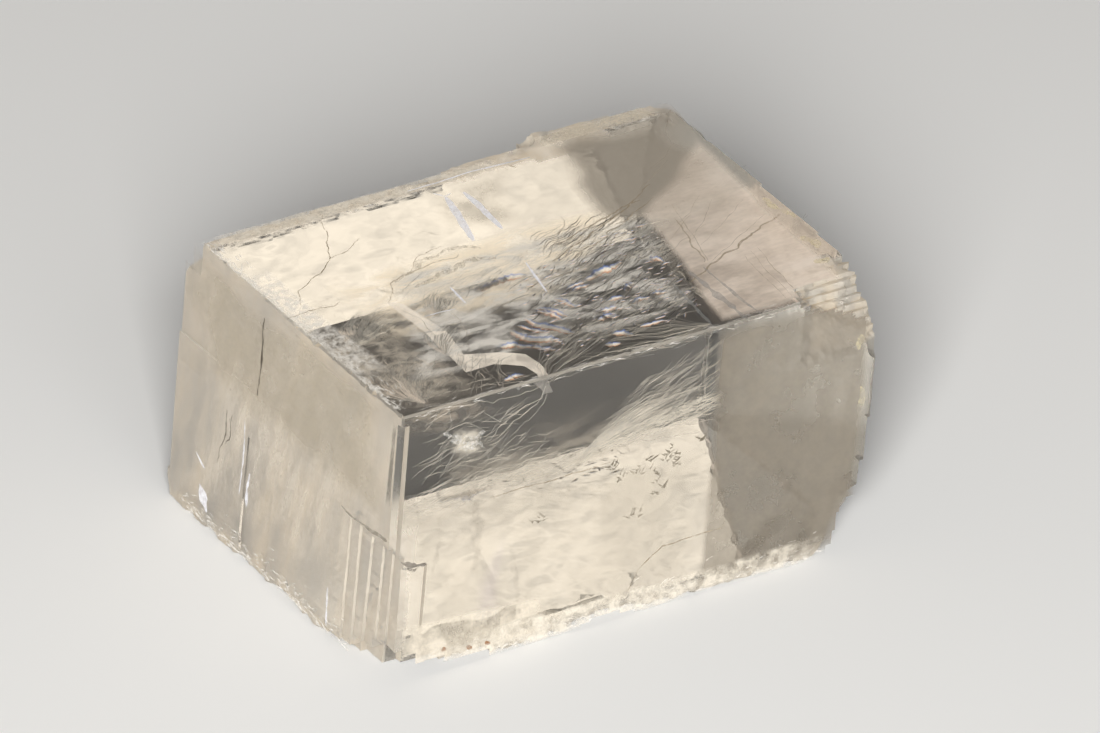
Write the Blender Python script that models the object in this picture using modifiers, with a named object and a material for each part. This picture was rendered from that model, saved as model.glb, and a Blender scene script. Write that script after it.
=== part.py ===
"""Iceland spar: a clear calcite cleavage rhomb with stepped corners and chipped edges.

Metres, +Z up. The rhomb lies on one cleavage face, its long edges run along X and its front face
looks towards -Y. Places on the crystal are given in millimetres along its own edges, as (along,
back, up) from the lower front left corner. The origin is at the centre of the underside of the
bounding box.
"""

import math
import random

import bmesh
import bpy
from mathutils import Matrix, Vector

# Driving dimensions
MM = 0.001
LONG_EDGE = 70.0
MIDDLE_EDGE = 50.0
UPRIGHT_EDGE = 38.0
SPAN = (LONG_EDGE, MIDDLE_EDGE, UPRIGHT_EDGE)
FACE_ANGLE = math.radians(101.92)
WORN_EDGE = 0.25 * MM
SEED = 1817

# How far a cutting box runs past the crystal, in millimetres
OVER = 3.0

# Subdivisions of the faceted spheres that leave small chips and larger hollows
CHIP_FACETS = 2
HOLLOW_FACETS = 3

# Unevenness of a faceted sphere whose triangles are not subdivided, as a share of its radius
SPHERE_UNEVENNESS = 0.3

# Side of the block that takes a corner off, in its longest reach along an edge
WEDGE_BLOCK = 2.4

# Stair of thin cleavage steps at the upper right front corner: first and last (along, back, up)
STAIR_STEPS = 7
STAIR_FIRST = (57.6, 3.5, 37.3)
STAIR_LAST = (66.8, 0.5, 31.9)
STAIR_SCATTER = 0.4
STAIR_DEPTH_SCATTER = 0.1
STAIR_TILT = (0.8, 0.6, 0.8)

# Upright splinters broken off the left face beside the front edge: first and last (along, back, up)
RISERS = 5
RISER_FIRST = (0.45, 9.9, 18.8)
RISER_LAST = (1.9, 2.2, 17.4)
RISER_WIDTH_SCATTER = 0.3
RISER_TOP_SCATTER = 0.5
RISER_LEAN = (0.8, 2.4)
RISER_TWIST = 0.8

# Chips along each edge: mean spacing along it, length, width and bite in millimetres
LIGHT_WEAR = (5.5, 2.4, 1.2, 0.25)
SPLINTERED_WEAR = (2.6, 1.5, 0.9, 0.35)
MEDIUM_WEAR = (4.6, 2.8, 1.6, 0.5)
HEAVY_WEAR = (3.6, 2.8, 1.9, 0.65)

# How a chip differs from the mean of its edge: size, bite and gap as shares, turns in degrees
CHIP_SIZE = (0.55, 1.35)
CHIP_BITE = (0.4, 1.4)
CHIP_GAP = (0.6, 1.4)
FIRST_CHIP = (0.3, 0.7)
CHIP_LEAN = 28
CHIP_YAW = 16

CALCITE_COLOUR = (0.86, 0.80, 0.68, 1.0)
CALCITE_ROUGHNESS = 0.12
CALCITE_IOR = 1.66


def clear_scene():
    """Removes the objects that a new file opens with."""
    for obj in list(bpy.data.objects):
        bpy.data.objects.remove(obj, do_unlink=True)


def new_collection(name):
    """Links and returns an empty collection."""
    collection = bpy.data.collections.new(name)
    bpy.context.scene.collection.children.link(collection)
    return collection


def edge_directions():
    """Unit vectors along the long, middle and upright edges.

    The three faces at the upper front left corner each have the obtuse angle there, which fixes
    how far the upright edge leans over the base.
    """
    cosine = math.cos(FACE_ANGLE)
    along = Vector((1, 0, 0))
    back = Vector((cosine, math.sin(FACE_ANGLE), 0))
    lean = (cosine - cosine * cosine) / back.y
    down = Vector((cosine, lean, -math.sqrt(1 - cosine * cosine - lean * lean)))
    return along, back, -down


ALONG, BACK, UP = edge_directions()
SHEAR = Matrix((ALONG, BACK, UP)).transposed()


def place(along, back, up):
    """The point in metres at these millimetres along the crystal's edges."""
    return SHEAR @ Vector((along, back, up)) * MM


def calcite():
    """Clear, faintly warm calcite."""
    material = bpy.data.materials.new("calcite")
    material.use_nodes = True
    shader = material.node_tree.nodes["Principled BSDF"]
    shader.inputs["Base Color"].default_value = CALCITE_COLOUR
    shader.inputs["Roughness"].default_value = CALCITE_ROUGHNESS
    shader.inputs["Metallic"].default_value = 0.0
    shader.inputs["IOR"].default_value = CALCITE_IOR
    shader.inputs["Transmission Weight"].default_value = 1.0
    material.diffuse_color = CALCITE_COLOUR
    return material


def new_object(name, form, collection, parent):
    """Puts a bmesh into a new object, with its faces turned outwards."""
    bmesh.ops.recalc_face_normals(form, faces=form.faces)
    mesh = bpy.data.meshes.new(name)
    form.to_mesh(mesh)
    form.free()
    obj = bpy.data.objects.new(name, mesh)
    obj.parent = parent
    collection.objects.link(obj)
    return obj


def sheared_box(low, high, tilt=(0.0, 0.0, 0.0)):
    """A box whose sides are cleavage planes, between two (along, back, up) corners.

    The tilt turns it by a few degrees about its middle, as a plane that broke a little unevenly.
    """
    form = bmesh.new()
    bmesh.ops.create_cube(form, size=1)
    size = [b - a for a, b in zip(low, high)]
    middle = [(a + b) / 2 for a, b in zip(low, high)]
    for vertex in form.verts:
        vertex.co = place(*(part * side for part, side in zip(vertex.co, size)))
    turn = Matrix.Rotation(math.radians(tilt[0]), 4, "X")
    turn = Matrix.Rotation(math.radians(tilt[1]), 4, "Y") @ turn
    turn = Matrix.Rotation(math.radians(tilt[2]), 4, "Z") @ turn
    bmesh.ops.transform(form, matrix=Matrix.Translation(place(*middle)) @ turn, verts=form.verts)
    return form


def corner_wedge(corner, reach):
    """A block that takes one corner off, down a plane through a point on each of its three edges.

    The corner is (along, back, up) as 0 or 1, and the reach is how far the plane cuts each edge.
    """
    tip = Vector(place(*(end * length for end, length in zip(corner, SPAN))))
    inward = [-1 if end else 1 for end in corner]
    points = []
    for axis in range(3):
        step = [0.0, 0.0, 0.0]
        step[axis] = inward[axis] * reach[axis]
        points.append(tip + place(*step))
    normal = (points[1] - points[0]).cross(points[2] - points[0]).normalized()
    if normal.dot(tip - points[0]) < 0:
        normal.negate()
    size = WEDGE_BLOCK * max(reach) * MM
    form = bmesh.new()
    bmesh.ops.create_cube(form, size=size)
    middle = sum(points, Vector()) / 3 + normal * size / 2
    turn = normal.to_track_quat("Z", "Y").to_matrix().to_4x4()
    bmesh.ops.transform(form, matrix=Matrix.Translation(middle) @ turn, verts=form.verts)
    return form


def prism(outline, depth):
    """A notch drawn as (along, up) points on the front face and carried back between two depths."""
    form = bmesh.new()
    corners = [form.verts.new(place(along, depth[0], up)) for along, up in outline]
    face = form.faces.new(corners)
    grown = bmesh.ops.extrude_face_region(form, geom=[face])
    moved = [item for item in grown["geom"] if isinstance(item, bmesh.types.BMVert)]
    bmesh.ops.translate(form, vec=place(0, depth[1] - depth[0], 0), verts=moved)
    return form


def scoop(centre, radii, turn, rng, subdivisions):
    """A lump whose cut leaves a shell-like hollow: a slightly uneven sphere of flat facets."""
    form = bmesh.new()
    bmesh.ops.create_icosphere(form, subdivisions=subdivisions, radius=1)
    unevenness = SPHERE_UNEVENNESS / subdivisions**2
    for vertex in form.verts:
        vertex.co *= rng.uniform(1 - unevenness, 1 + unevenness)
    stretch = Matrix.Diagonal((*(radius * MM for radius in radii), 1))
    matrix = Matrix.Translation(place(*centre)) @ turn.to_4x4() @ stretch
    bmesh.ops.transform(form, matrix=matrix, verts=form.verts)
    return form


def cutter(name, form, collection, parent):
    """Makes a cutting shape that the finished model leaves out."""
    obj = new_object(name, form, collection, parent)
    obj.hide_render = True
    obj.display_type = "WIRE"
    return obj


def cleavage_steps(collection, parent):
    """The ledges, rebates and broken corners that show from a step away."""
    rng = random.Random(SEED)
    for number in range(STAIR_STEPS):
        share = number / (STAIR_STEPS - 1)
        start, depth, floor = (a + (b - a) * share for a, b in zip(STAIR_FIRST, STAIR_LAST))
        start += rng.uniform(-STAIR_SCATTER, STAIR_SCATTER)
        depth += rng.uniform(-STAIR_DEPTH_SCATTER, STAIR_DEPTH_SCATTER)
        low = (start, -OVER, floor)
        high = (LONG_EDGE + OVER, depth, UPRIGHT_EDGE + OVER)
        tilt = [rng.uniform(-most, most) for most in STAIR_TILT]
        cutter(f"corner_step_{number}", sheared_box(low, high, tilt), collection, parent)
    for number in range(RISERS):
        share = number / (RISERS - 1)
        depth, width, top = (a + (b - a) * share for a, b in zip(RISER_FIRST, RISER_LAST))
        width += rng.uniform(-RISER_WIDTH_SCATTER, RISER_WIDTH_SCATTER)
        top += rng.uniform(-RISER_TOP_SCATTER, RISER_TOP_SCATTER)
        high = (depth, width, top)
        tilt = (rng.uniform(*RISER_LEAN), 0, rng.uniform(-RISER_TWIST, RISER_TWIST))
        box = sheared_box((-OVER, -OVER, -OVER), high, tilt)
        cutter(f"front_edge_riser_{number}", box, collection, parent)
    boxes = {
        "back_rim_left": ((-OVER, 46.1, 33.3), (16.0, 53, 41), (0, 0, 0)),
        "back_rim_middle": ((14.6, 46.5, 32.8), (36.0, 53, 41), (0, 0, -0.4)),
        "back_rim_right": ((34.5, 47.4, 34.8), (48.9, 53, 41), (0, 0, 0.4)),
        "back_rim_skin": ((53.0, 49.2, 35.2), (73, 53, 41), (0, 0, 0)),
        "back_rim_end": ((62.0, 48.6, 34.0), (73, 53, 41), (0, 0, 0)),
        "front_edge_rebate": ((-OVER, -OVER, 15.2), (1.1, 0.9, 36.6), (0, 0, 0.6)),
        "front_edge_recess": ((-OVER, -OVER, -OVER), (5.2, 0.55, 16.0), (0, 0.5, 0.2)),
        "left_skin": ((-OVER, 26.5, -OVER), (0.35, 33.0, 17.5), (2.0, 0, 0)),
        "left_top_skin": ((-OVER, 31.2, 24.0), (0.3, 53, 41), (-1.5, 0, 0)),
        "left_back_rebate": ((-OVER, 49.3, 4.0), (0.8, 53, 36.0), (0, 0, 0)),
        "right_top_front": ((68.7, -OVER, 34.6), (73, 13.0, 41), (0, 0, 0)),
        "right_top_middle": ((69.1, -OVER, 35.8), (73, 26.0, 41), (0, 0, 0)),
        "right_top_back": ((69.5, -OVER, 36.9), (73, 38.0, 41), (0, 0, 0)),
        "right_front_low": ((67.9, -OVER, -OVER), (73, 2.2, 6.5), (0, 0, 0)),
        "right_front_middle": ((68.7, -OVER, -OVER), (73, 1.6, 12.5), (0, 0, 0)),
        "right_front_high": ((69.4, -OVER, -OVER), (73, 1.0, 18.5), (0, 0, 0)),
        "lower_front_end": ((-OVER, -OVER, -OVER), (5.0, 4.6, 4.0), (0, 0, 0)),
        "lower_front_middle": ((-OVER, -OVER, -OVER), (9.5, 3.6, 2.9), (0, 0, 0)),
        "lower_front_skin": ((-OVER, -OVER, -OVER), (16.0, 2.0, 1.6), (0, 0, 0)),
        "lower_left_middle": ((-OVER, -OVER, -OVER), (3.0, 8.0, 2.7), (0, 0, 0)),
        "lower_left_skin": ((-OVER, -OVER, -OVER), (2.0, 13.5, 1.3), (0, 0, 0)),
    }
    for name, (low, high, tilt) in boxes.items():
        cutter(name, sheared_box(low, high, tilt), collection, parent)
    broken = [(69.6, 9.4), (67.9, 8.9), (65.7, 7.7), (64.5, 1.8)]
    outside = [(62.6, -3.0), (74.0, -3.0), (74.0, 10.5)]
    notch = prism(broken + outside, (-OVER, 3.6))
    cutter("lower_right_notch", notch, collection, parent)
    wedges = {
        "upper_left_back_corner": ((0, 1, 1), (11.0, 4.2, 7.2)),
        "lower_left_back_corner": ((0, 1, 0), (1.5, 1.1, 4.0)),
        "upper_right_back_corner": ((1, 1, 1), (3.2, 4.0, 3.6)),
        "lower_right_back_corner": ((1, 1, 0), (1.5, 2.0, 1.2)),
        "upper_right_front_corner": ((1, 0, 1), (2.6, 11.0, 8.0)),
        "lower_right_front_corner": ((1, 0, 0), (7.2, 9.0, 7.5)),
    }
    for name, (corner, reach) in wedges.items():
        cutter(name, corner_wedge(corner, reach), collection, parent)
    scoops = {
        "back_rim_hollow": ((32.5, 47.8, 39.4), (7.0, 3.6, 1.9), -16),
        "back_rim_pit": ((49.0, 48.8, 37.9), (1.7, 1.5, 1.4), 10),
        "front_lower_hollow": ((34.0, -0.7, -1.6), (8.5, 3.2, 3.9), -6),
        "corner_stair_hollow": ((69.8, -0.6, 30.0), (2.6, 1.3, 3.2), 20),
        "left_lower_hollow": ((-0.9, 22.0, -0.9), (2.3, 6.0, 2.5), 8),
    }
    for name, (centre, radii, angle) in scoops.items():
        turn = Matrix.Rotation(math.radians(angle), 3, "Z")
        cutter(name, scoop(centre, radii, turn, rng, HOLLOW_FACETS), collection, parent)


def edge_turn(axis, corner):
    """Turns a scoop's length along an edge and its depth straight out of that edge."""
    directions = (ALONG, BACK, UP)
    length = directions[axis]
    out = Vector()
    for other in range(3):
        if other != axis:
            out += directions[other] * (1 if corner[other] else -1)
    out = (out - length * out.dot(length)).normalized()
    return Matrix((length, out.cross(length), out)).transposed(), out


def edge_chips(collection, parent):
    """Small shell-like chips along all twelve edges, heaviest where the crystal was broken free."""
    rng = random.Random(SEED + 1)
    wear = {
        (0, 0, 0): HEAVY_WEAR,
        (0, 0, 1): LIGHT_WEAR,
        (0, 1, 0): MEDIUM_WEAR,
        (0, 1, 1): MEDIUM_WEAR,
        (1, 0, 0): HEAVY_WEAR,
        (1, 0, 1): SPLINTERED_WEAR,
        (1, 1, 0): MEDIUM_WEAR,
        (1, 1, 1): MEDIUM_WEAR,
        (2, 0, 0): LIGHT_WEAR,
        (2, 0, 1): LIGHT_WEAR,
        (2, 1, 0): MEDIUM_WEAR,
        (2, 1, 1): MEDIUM_WEAR,
    }
    for (axis, first, second), (spacing, length, width, bite) in wear.items():
        corner = [first, second]
        corner.insert(axis, 0)
        turn, out = edge_turn(axis, corner)
        out_steps = SHEAR.inverted() @ out
        spot = rng.uniform(*FIRST_CHIP) * spacing
        while spot < SPAN[axis]:
            size = rng.uniform(*CHIP_SIZE)
            radii = (length * size, width * size, width * size)
            depth = bite * rng.uniform(*CHIP_BITE)
            centre = [end * span for end, span in zip(corner, SPAN)]
            centre[axis] = spot
            lift = radii[2] - depth
            centre = [value + lift * step for value, step in zip(centre, out_steps)]
            lean = math.radians(rng.uniform(-CHIP_LEAN, CHIP_LEAN))
            yaw = math.radians(rng.uniform(-CHIP_YAW, CHIP_YAW))
            own_turn = Matrix.Rotation(lean, 3, "X") @ Matrix.Rotation(yaw, 3, "Z")
            form = scoop(centre, radii, turn @ own_turn, rng, CHIP_FACETS)
            name = f"chip_{axis}{first}{second}_{round(spot):02d}"
            cutter(name, form, collection, parent)
            spot += spacing * rng.uniform(*CHIP_GAP)


def boolean(obj, name, collection):
    """Cuts every object of a collection out of this one."""
    modifier = obj.modifiers.new(name, "BOOLEAN")
    modifier.operation = "DIFFERENCE"
    modifier.solver = "EXACT"
    modifier.operand_type = "COLLECTION"
    modifier.collection = collection


def stand_on_origin(crystal, frame):
    """Moves the crystal's frame so that the bounding box stands centred on the origin."""
    bpy.context.view_layer.update()
    graph = bpy.context.evaluated_depsgraph_get()
    corners = [crystal.matrix_world @ Vector(c) for c in crystal.evaluated_get(graph).bound_box]
    for axis in range(3):
        values = [corner[axis] for corner in corners]
        zero = min(values) if axis == 2 else (min(values) + max(values)) / 2
        frame.location[axis] -= zero


def main():
    """Builds the crystal and its cutting shapes."""
    clear_scene()
    spar = new_collection("iceland_spar")
    steps = new_collection("cleavage_step_cutters")
    chips = new_collection("edge_chip_cutters")
    frame = bpy.data.objects.new("crystal_frame", None)
    spar.objects.link(frame)
    crystal = new_object("crystal", sheared_box((0, 0, 0), SPAN), spar, frame)
    crystal.data.materials.append(calcite())
    bevel = crystal.modifiers.new("worn_edges", "BEVEL")
    bevel.width = WORN_EDGE
    bevel.segments = 1
    cleavage_steps(steps, frame)
    edge_chips(chips, frame)
    boolean(crystal, "cleavage_steps", steps)
    boolean(crystal, "edge_chips", chips)
    stand_on_origin(crystal, frame)


main()
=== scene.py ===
"""Looks of an iceland spar: one clear calcite cleavage rhomb with healed cracks inside it.

The crystal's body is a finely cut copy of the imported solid. Everything else is a thin numpy surface
that lies on a face of the crystal or stands inside it. Places in the crystal are in millimetres along
its own edges, as (along, back, up) from the lower front left corner. A mark on a face is given by the
two of them that lie in that face.
"""

import logging
import math
from dataclasses import dataclass, field
from enum import Enum
from typing import Any

import bmesh
import bpy
import numpy as np
from mathutils import Matrix, Vector


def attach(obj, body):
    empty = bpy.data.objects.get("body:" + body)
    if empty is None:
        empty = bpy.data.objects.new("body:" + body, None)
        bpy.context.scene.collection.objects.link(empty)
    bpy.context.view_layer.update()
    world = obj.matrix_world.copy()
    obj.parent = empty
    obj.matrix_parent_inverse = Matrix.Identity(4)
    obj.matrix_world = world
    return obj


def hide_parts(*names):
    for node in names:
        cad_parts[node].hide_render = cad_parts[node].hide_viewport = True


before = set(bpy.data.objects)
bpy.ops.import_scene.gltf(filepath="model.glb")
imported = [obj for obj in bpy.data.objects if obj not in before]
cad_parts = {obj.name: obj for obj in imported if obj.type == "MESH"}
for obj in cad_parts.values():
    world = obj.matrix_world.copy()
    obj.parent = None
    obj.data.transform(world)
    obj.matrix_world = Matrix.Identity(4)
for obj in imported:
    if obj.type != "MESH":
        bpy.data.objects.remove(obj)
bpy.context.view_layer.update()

MM = 0.001
TINY = 1e-12
BODY = "root"
CAD_NODE = "crystal"
LOG = logging.getLogger("iceland_spar")

Pair = tuple[float, float]
Triple = tuple[float, float, float]
Line = tuple[Pair, ...]
Inputs = dict[str | int, Any] | tuple[Any, ...]


# Colour and node helpers


def linear(code: str) -> tuple[float, float, float, float]:
    """Turns an sRGB hex colour into linear RGBA.

    Args:
        code: Six hex digits.

    Returns:
        Red, green, blue and full alpha, each from 0 to 1 and linear.
    """
    values = [int(code[start : start + 2], 16) / 255 for start in (0, 2, 4)]
    red, green, blue = (v / 12.92 if v <= 0.04045 else ((v + 0.055) / 1.055) ** 2.4 for v in values)
    return (red, green, blue, 1.0)


def fill(node: bpy.types.Node, inputs: Inputs) -> None:
    """Sets a node's inputs to values, or links them to output sockets.

    Args:
        node: The node.
        inputs: Values or sockets, in the inputs' order, or by their names or numbers.
    """
    for name, value in inputs.items() if isinstance(inputs, dict) else enumerate(inputs):
        if isinstance(value, bpy.types.NodeSocket):
            node.id_data.links.new(value, node.inputs[name])
        else:
            node.inputs[name].default_value = value


def add(
    tree: bpy.types.NodeTree, kind: str, inputs: Inputs = (), out: str | int = 0, **settings: Any
) -> bpy.types.NodeSocket:
    """Adds one node with its settings and links.

    Args:
        tree: The node tree that gets the node.
        kind: The node's Blender type name, without the word ShaderNode before it.
        inputs: Values or output sockets, in the inputs' order, or by their names or numbers.
        out: Which of its outputs is wanted.
        settings: Values for the node's own properties.

    Returns:
        That output of the new node.
    """
    node = tree.nodes.new("ShaderNode" + kind)
    for name, value in settings.items():
        setattr(node, name, value)
    fill(node, inputs)
    return node.outputs[out]


def new_material(name: str) -> tuple[bpy.types.Material, bpy.types.NodeTree, bpy.types.Node]:
    """Makes a material that holds one Principled shader.

    Args:
        name: The real material's name.

    Returns:
        The material, its node tree and its shader.
    """
    material = bpy.data.materials.new(name)
    material.use_nodes = True
    return material, material.node_tree, material.node_tree.nodes["Principled BSDF"]


def film_cover(
    tree: bpy.types.NodeTree,
    noise: bpy.types.NodeSocket,
    limits: Pair,
    cover: Pair,
    behind: float,
    blend: str,
) -> bpy.types.NodeSocket:
    """How much a thin film covers: its noise as a cover * the piece's fade * its share from behind.

    Args:
        tree: The film's node tree.
        noise: The pattern.
        limits: The noise values where the cover is least and most.
        cover: The least and the most cover.
        behind: The share that shows from behind.
        blend: How the cover grows between the limits.

    Returns:
        The film's alpha.
    """
    share = add(tree, "MapRange", (noise, *limits, *cover), interpolation_type=blend)
    fade = add(tree, "Attribute", out="Fac", attribute_name="fade")
    alpha = add(tree, "Math", (share, fade), operation="MULTIPLY")
    turned = add(tree, "NewGeometry", out="Backfacing")
    shown = add(tree, "MapRange", (turned, 0.0, 1.0, 1.0, behind))
    return add(tree, "Math", (alpha, shown), operation="MULTIPLY")


# Numpy helpers


def smooth(share: np.ndarray) -> np.ndarray:
    """Rounds off a rise from 0 to 1: share * share * (3 - 2 * share)."""
    return share * share * (3 - 2 * share)


def lattice_noise(points: np.ndarray, size: float, seed: int, level: float = 0.0) -> np.ndarray:
    """Smooth random values: each cell corner of a cubic lattice has its own value, blended inside.

    Args:
        points: Places in millimetres, with two or three numbers in the last axis.
        size: Side of a lattice cell in millimetres.
        seed: Picks the random values.
        level: The third number of places that have two.

    Returns:
        One value from -1 to 1 for each place.
    """
    if points.shape[-1] == 2:
        points = np.concatenate([points, np.full((*points.shape[:-1], 1), level)], axis=-1)
    table = np.random.default_rng(seed).uniform(-1, 1, 4096)
    scaled = points / size
    cell = np.floor(scaled).astype(np.int64)
    part = smooth(scaled - cell)
    total = np.zeros(points.shape[:-1])
    for corner in np.ndindex(2, 2, 2):
        spot = cell + np.array(corner)
        key = (spot * np.array([73856093, 19349663, 83492791])).sum(-1) ^ (spot[..., 0] * spot[..., 1])
        share = np.where(np.array(corner) == 1, part, 1 - part).prod(-1)
        total += share * table[np.abs(key) % len(table)]
    return total


def roughly(points: np.ndarray, sizes: Pair, finer: float, seed: int) -> np.ndarray:
    """Two sizes of roughness: the size of coarse noise + finer * the size of fine noise, 0 or more."""
    coarse, fine = (np.abs(lattice_noise(points, sizes[i], seed + i)) for i in (0, 1))
    return coarse + finer * fine


def jitter(marks: np.ndarray, amount: float, size: float, seed: int) -> np.ndarray:
    """Shifts marks by smooth noise of a given size: mark + amount * (noise, other noise)."""
    shift = [lattice_noise(marks, size, seed + axis, seed * 7.31) for axis in (0, 1)]
    return marks + amount * np.stack(shift, -1)


def taper(first: float, last: float, power: float, steps: int) -> np.ndarray:
    """How wide a line is along its length: sin(pi * reach) ** power, reach going from first to last."""
    return np.sin(np.pi * np.linspace(first, last, steps)) ** power


def directions(turns: np.ndarray) -> np.ndarray:
    """Turns angles into unit vectors: (cos, sin)."""
    return np.stack([np.cos(turns), np.sin(turns)], -1)


def scattered(base: Triple, spread: float, count: int, rng: np.random.Generator) -> np.ndarray:
    """Unit vectors round one direction, one per row: base + spread * normal noise, made one long."""
    made = np.array(base) + rng.normal(0, spread, (count, 3))
    return made / np.linalg.norm(made, axis=1, keepdims=True)


def resample(points: Line | np.ndarray, steps: int) -> np.ndarray:
    """Places steps evenly along a broken line.

    Args:
        points: The line's corners.
        steps: How many places.

    Returns:
        The places, one per row.
    """
    corners = np.asarray(points, float)
    lengths = np.linalg.norm(np.diff(corners, axis=0), axis=1)
    along = np.concatenate([[0.0], np.cumsum(lengths)])
    spread = np.linspace(0, along[-1], steps)
    return np.stack([np.interp(spread, along, corners[:, axis]) for axis in (0, 1)], 1)


def four_corner_blend(corners: Line, u: np.ndarray, v: np.ndarray) -> np.ndarray:
    """Fills a four-sided patch: (1-u)((1-v) first + v fourth) + u((1-v) second + v third).

    Args:
        corners: The patch's corners in turn.
        u: How far each place is from the first side to the opposite one, 0 to 1.
        v: The same the other way.

    Returns:
        The places, with two numbers in the last axis.
    """
    first, second, third, fourth = (np.array(corner, float) for corner in corners)
    one, other = u[..., None], v[..., None]
    near = (1 - other) * first + other * fourth
    return (1 - one) * near + one * ((1 - other) * second + other * third)


def mesh_rows(items: bpy.types.bpy_prop_collection, name: str, kind: type = float) -> np.ndarray:
    """Reads a property of three numbers from all of a mesh's vertices or facets.

    Args:
        items: The vertices or the facets.
        name: The property.
        kind: What its numbers are.

    Returns:
        Its three numbers, one row for each.
    """
    values = np.empty(len(items) * 3, kind)
    items.foreach_get(name, values)
    return values.reshape(-1, 3)


def store(mesh: bpy.types.Mesh, name: str, domain: str, values: np.ndarray) -> None:
    """Stores one number for each point or face of a mesh as an attribute that shaders read."""
    attribute = mesh.attributes.new(name, "FLOAT", domain)
    attribute.data.foreach_set("value", values.astype(np.float32))


# The crystal's own axes


@dataclass(frozen=True)
class CrystalAxes:
    """The three edge directions of the rhomb, its edge lengths and where its lower corner stands.

    All three faces at the upper front left corner have the obtuse cleavage angle there. The margins
    are how near a crack may come to each far face, and near_share what of them holds at the near one.
    """

    face_angle: float = 101.92
    lengths: Triple = (70.0, 50.0, 38.0)
    margins: Triple = (1.0, 4.0, 1.6)
    near_share: float = 0.25
    corner: Triple = (-33.064, -29.3, 0.0)

    def matrix(self) -> np.ndarray:
        """Works out the edge directions from the face angle.

        Returns:
            The unit directions (along, back, up) as columns.
        """
        cosine = math.cos(math.radians(self.face_angle))
        across = math.sin(math.radians(self.face_angle))
        lean = (cosine - cosine * cosine) / across
        height = math.sqrt(1 - cosine * cosine - lean * lean)
        return np.array([[1, cosine, -cosine], [0, across, -lean], [0, 0, height]])

    def normals(self) -> np.ndarray:
        """Gives the outward normals of the right, back and top faces, one per row."""
        inverse = np.linalg.inv(self.matrix())
        return inverse / np.linalg.norm(inverse, axis=1, keepdims=True)

    def place(self, spots: np.ndarray) -> np.ndarray:
        """Turns (along, back, up) rows in millimetres into points in metres."""
        return (np.asarray(spots, float) @ self.matrix().T + np.array(self.corner)) * MM

    def read(self, points: np.ndarray) -> np.ndarray:
        """Turns points in metres into (along, back, up) rows in millimetres."""
        moved = np.asarray(points, float) / MM - np.array(self.corner)
        return moved @ np.linalg.inv(self.matrix()).T


AXES = CrystalAxes()


@dataclass(frozen=True)
class Side:
    """One face: the axes a mark on it is given in, and how a look through it goes on inside.

    The look comes from the upper front left. It bends at the face and then drifts along both axes
    for every millimetre of depth.
    """

    axes: tuple[int, int]
    through: int
    level: float
    inward: int
    drift: Pair
    outward: Triple
    deepest: float = 30.0
    shallowest: float = 0.12


class Face(Enum):
    """The three faces that carry marks."""

    TOP = Side((0, 1), 2, 38.0, -1, (0.565, 0.728), (0.0, 0.0, 1.0))
    FRONT = Side((0, 2), 1, 0.0, 1, (0.508, -0.518), (0.0, -0.9655, 0.2603))
    LEFT = Side((1, 2), 0, 0.0, 1, (0.0, 0.0), (-0.9446, -0.1994, 0.2603))

    def room(self, marks: np.ndarray) -> np.ndarray:
        """How deep a look through each mark goes before it comes near another face.

        Args:
            marks: Places on the face in millimetres.

        Returns:
            Millimetres below the face.
        """
        side = self.value
        deepest = np.full(marks.shape[:-1], side.deepest)
        for place, axis in enumerate(side.axes):
            drift, margin = side.drift[place], AXES.margins[axis]
            far = AXES.lengths[axis] - margin if drift > 0 else margin * AXES.near_share
            if drift:
                deepest = np.minimum(deepest, (far - marks[..., place]) / drift)
        return np.maximum(deepest, side.shallowest)

    def spots(self, marks: np.ndarray, depth: np.ndarray | float) -> np.ndarray:
        """Carries marks into the crystal: mark + drift * depth, at the face's level + depth.

        Args:
            marks: Places on the face in millimetres, with two numbers in the last axis.
            depth: Millimetres below the face, negative for a mark that stands proud of it.

        Returns:
            (along, back, up) places, with three numbers in the last axis.
        """
        side = self.value
        depth = np.minimum(depth, self.room(marks))
        sunk = np.maximum(depth, 0)
        made = np.empty((*marks.shape[:-1], 3))
        for place, axis in enumerate(side.axes):
            made[..., axis] = marks[..., place] + side.drift[place] * sunk
        made[..., side.through] = side.level + side.inward * depth
        return made


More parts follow.
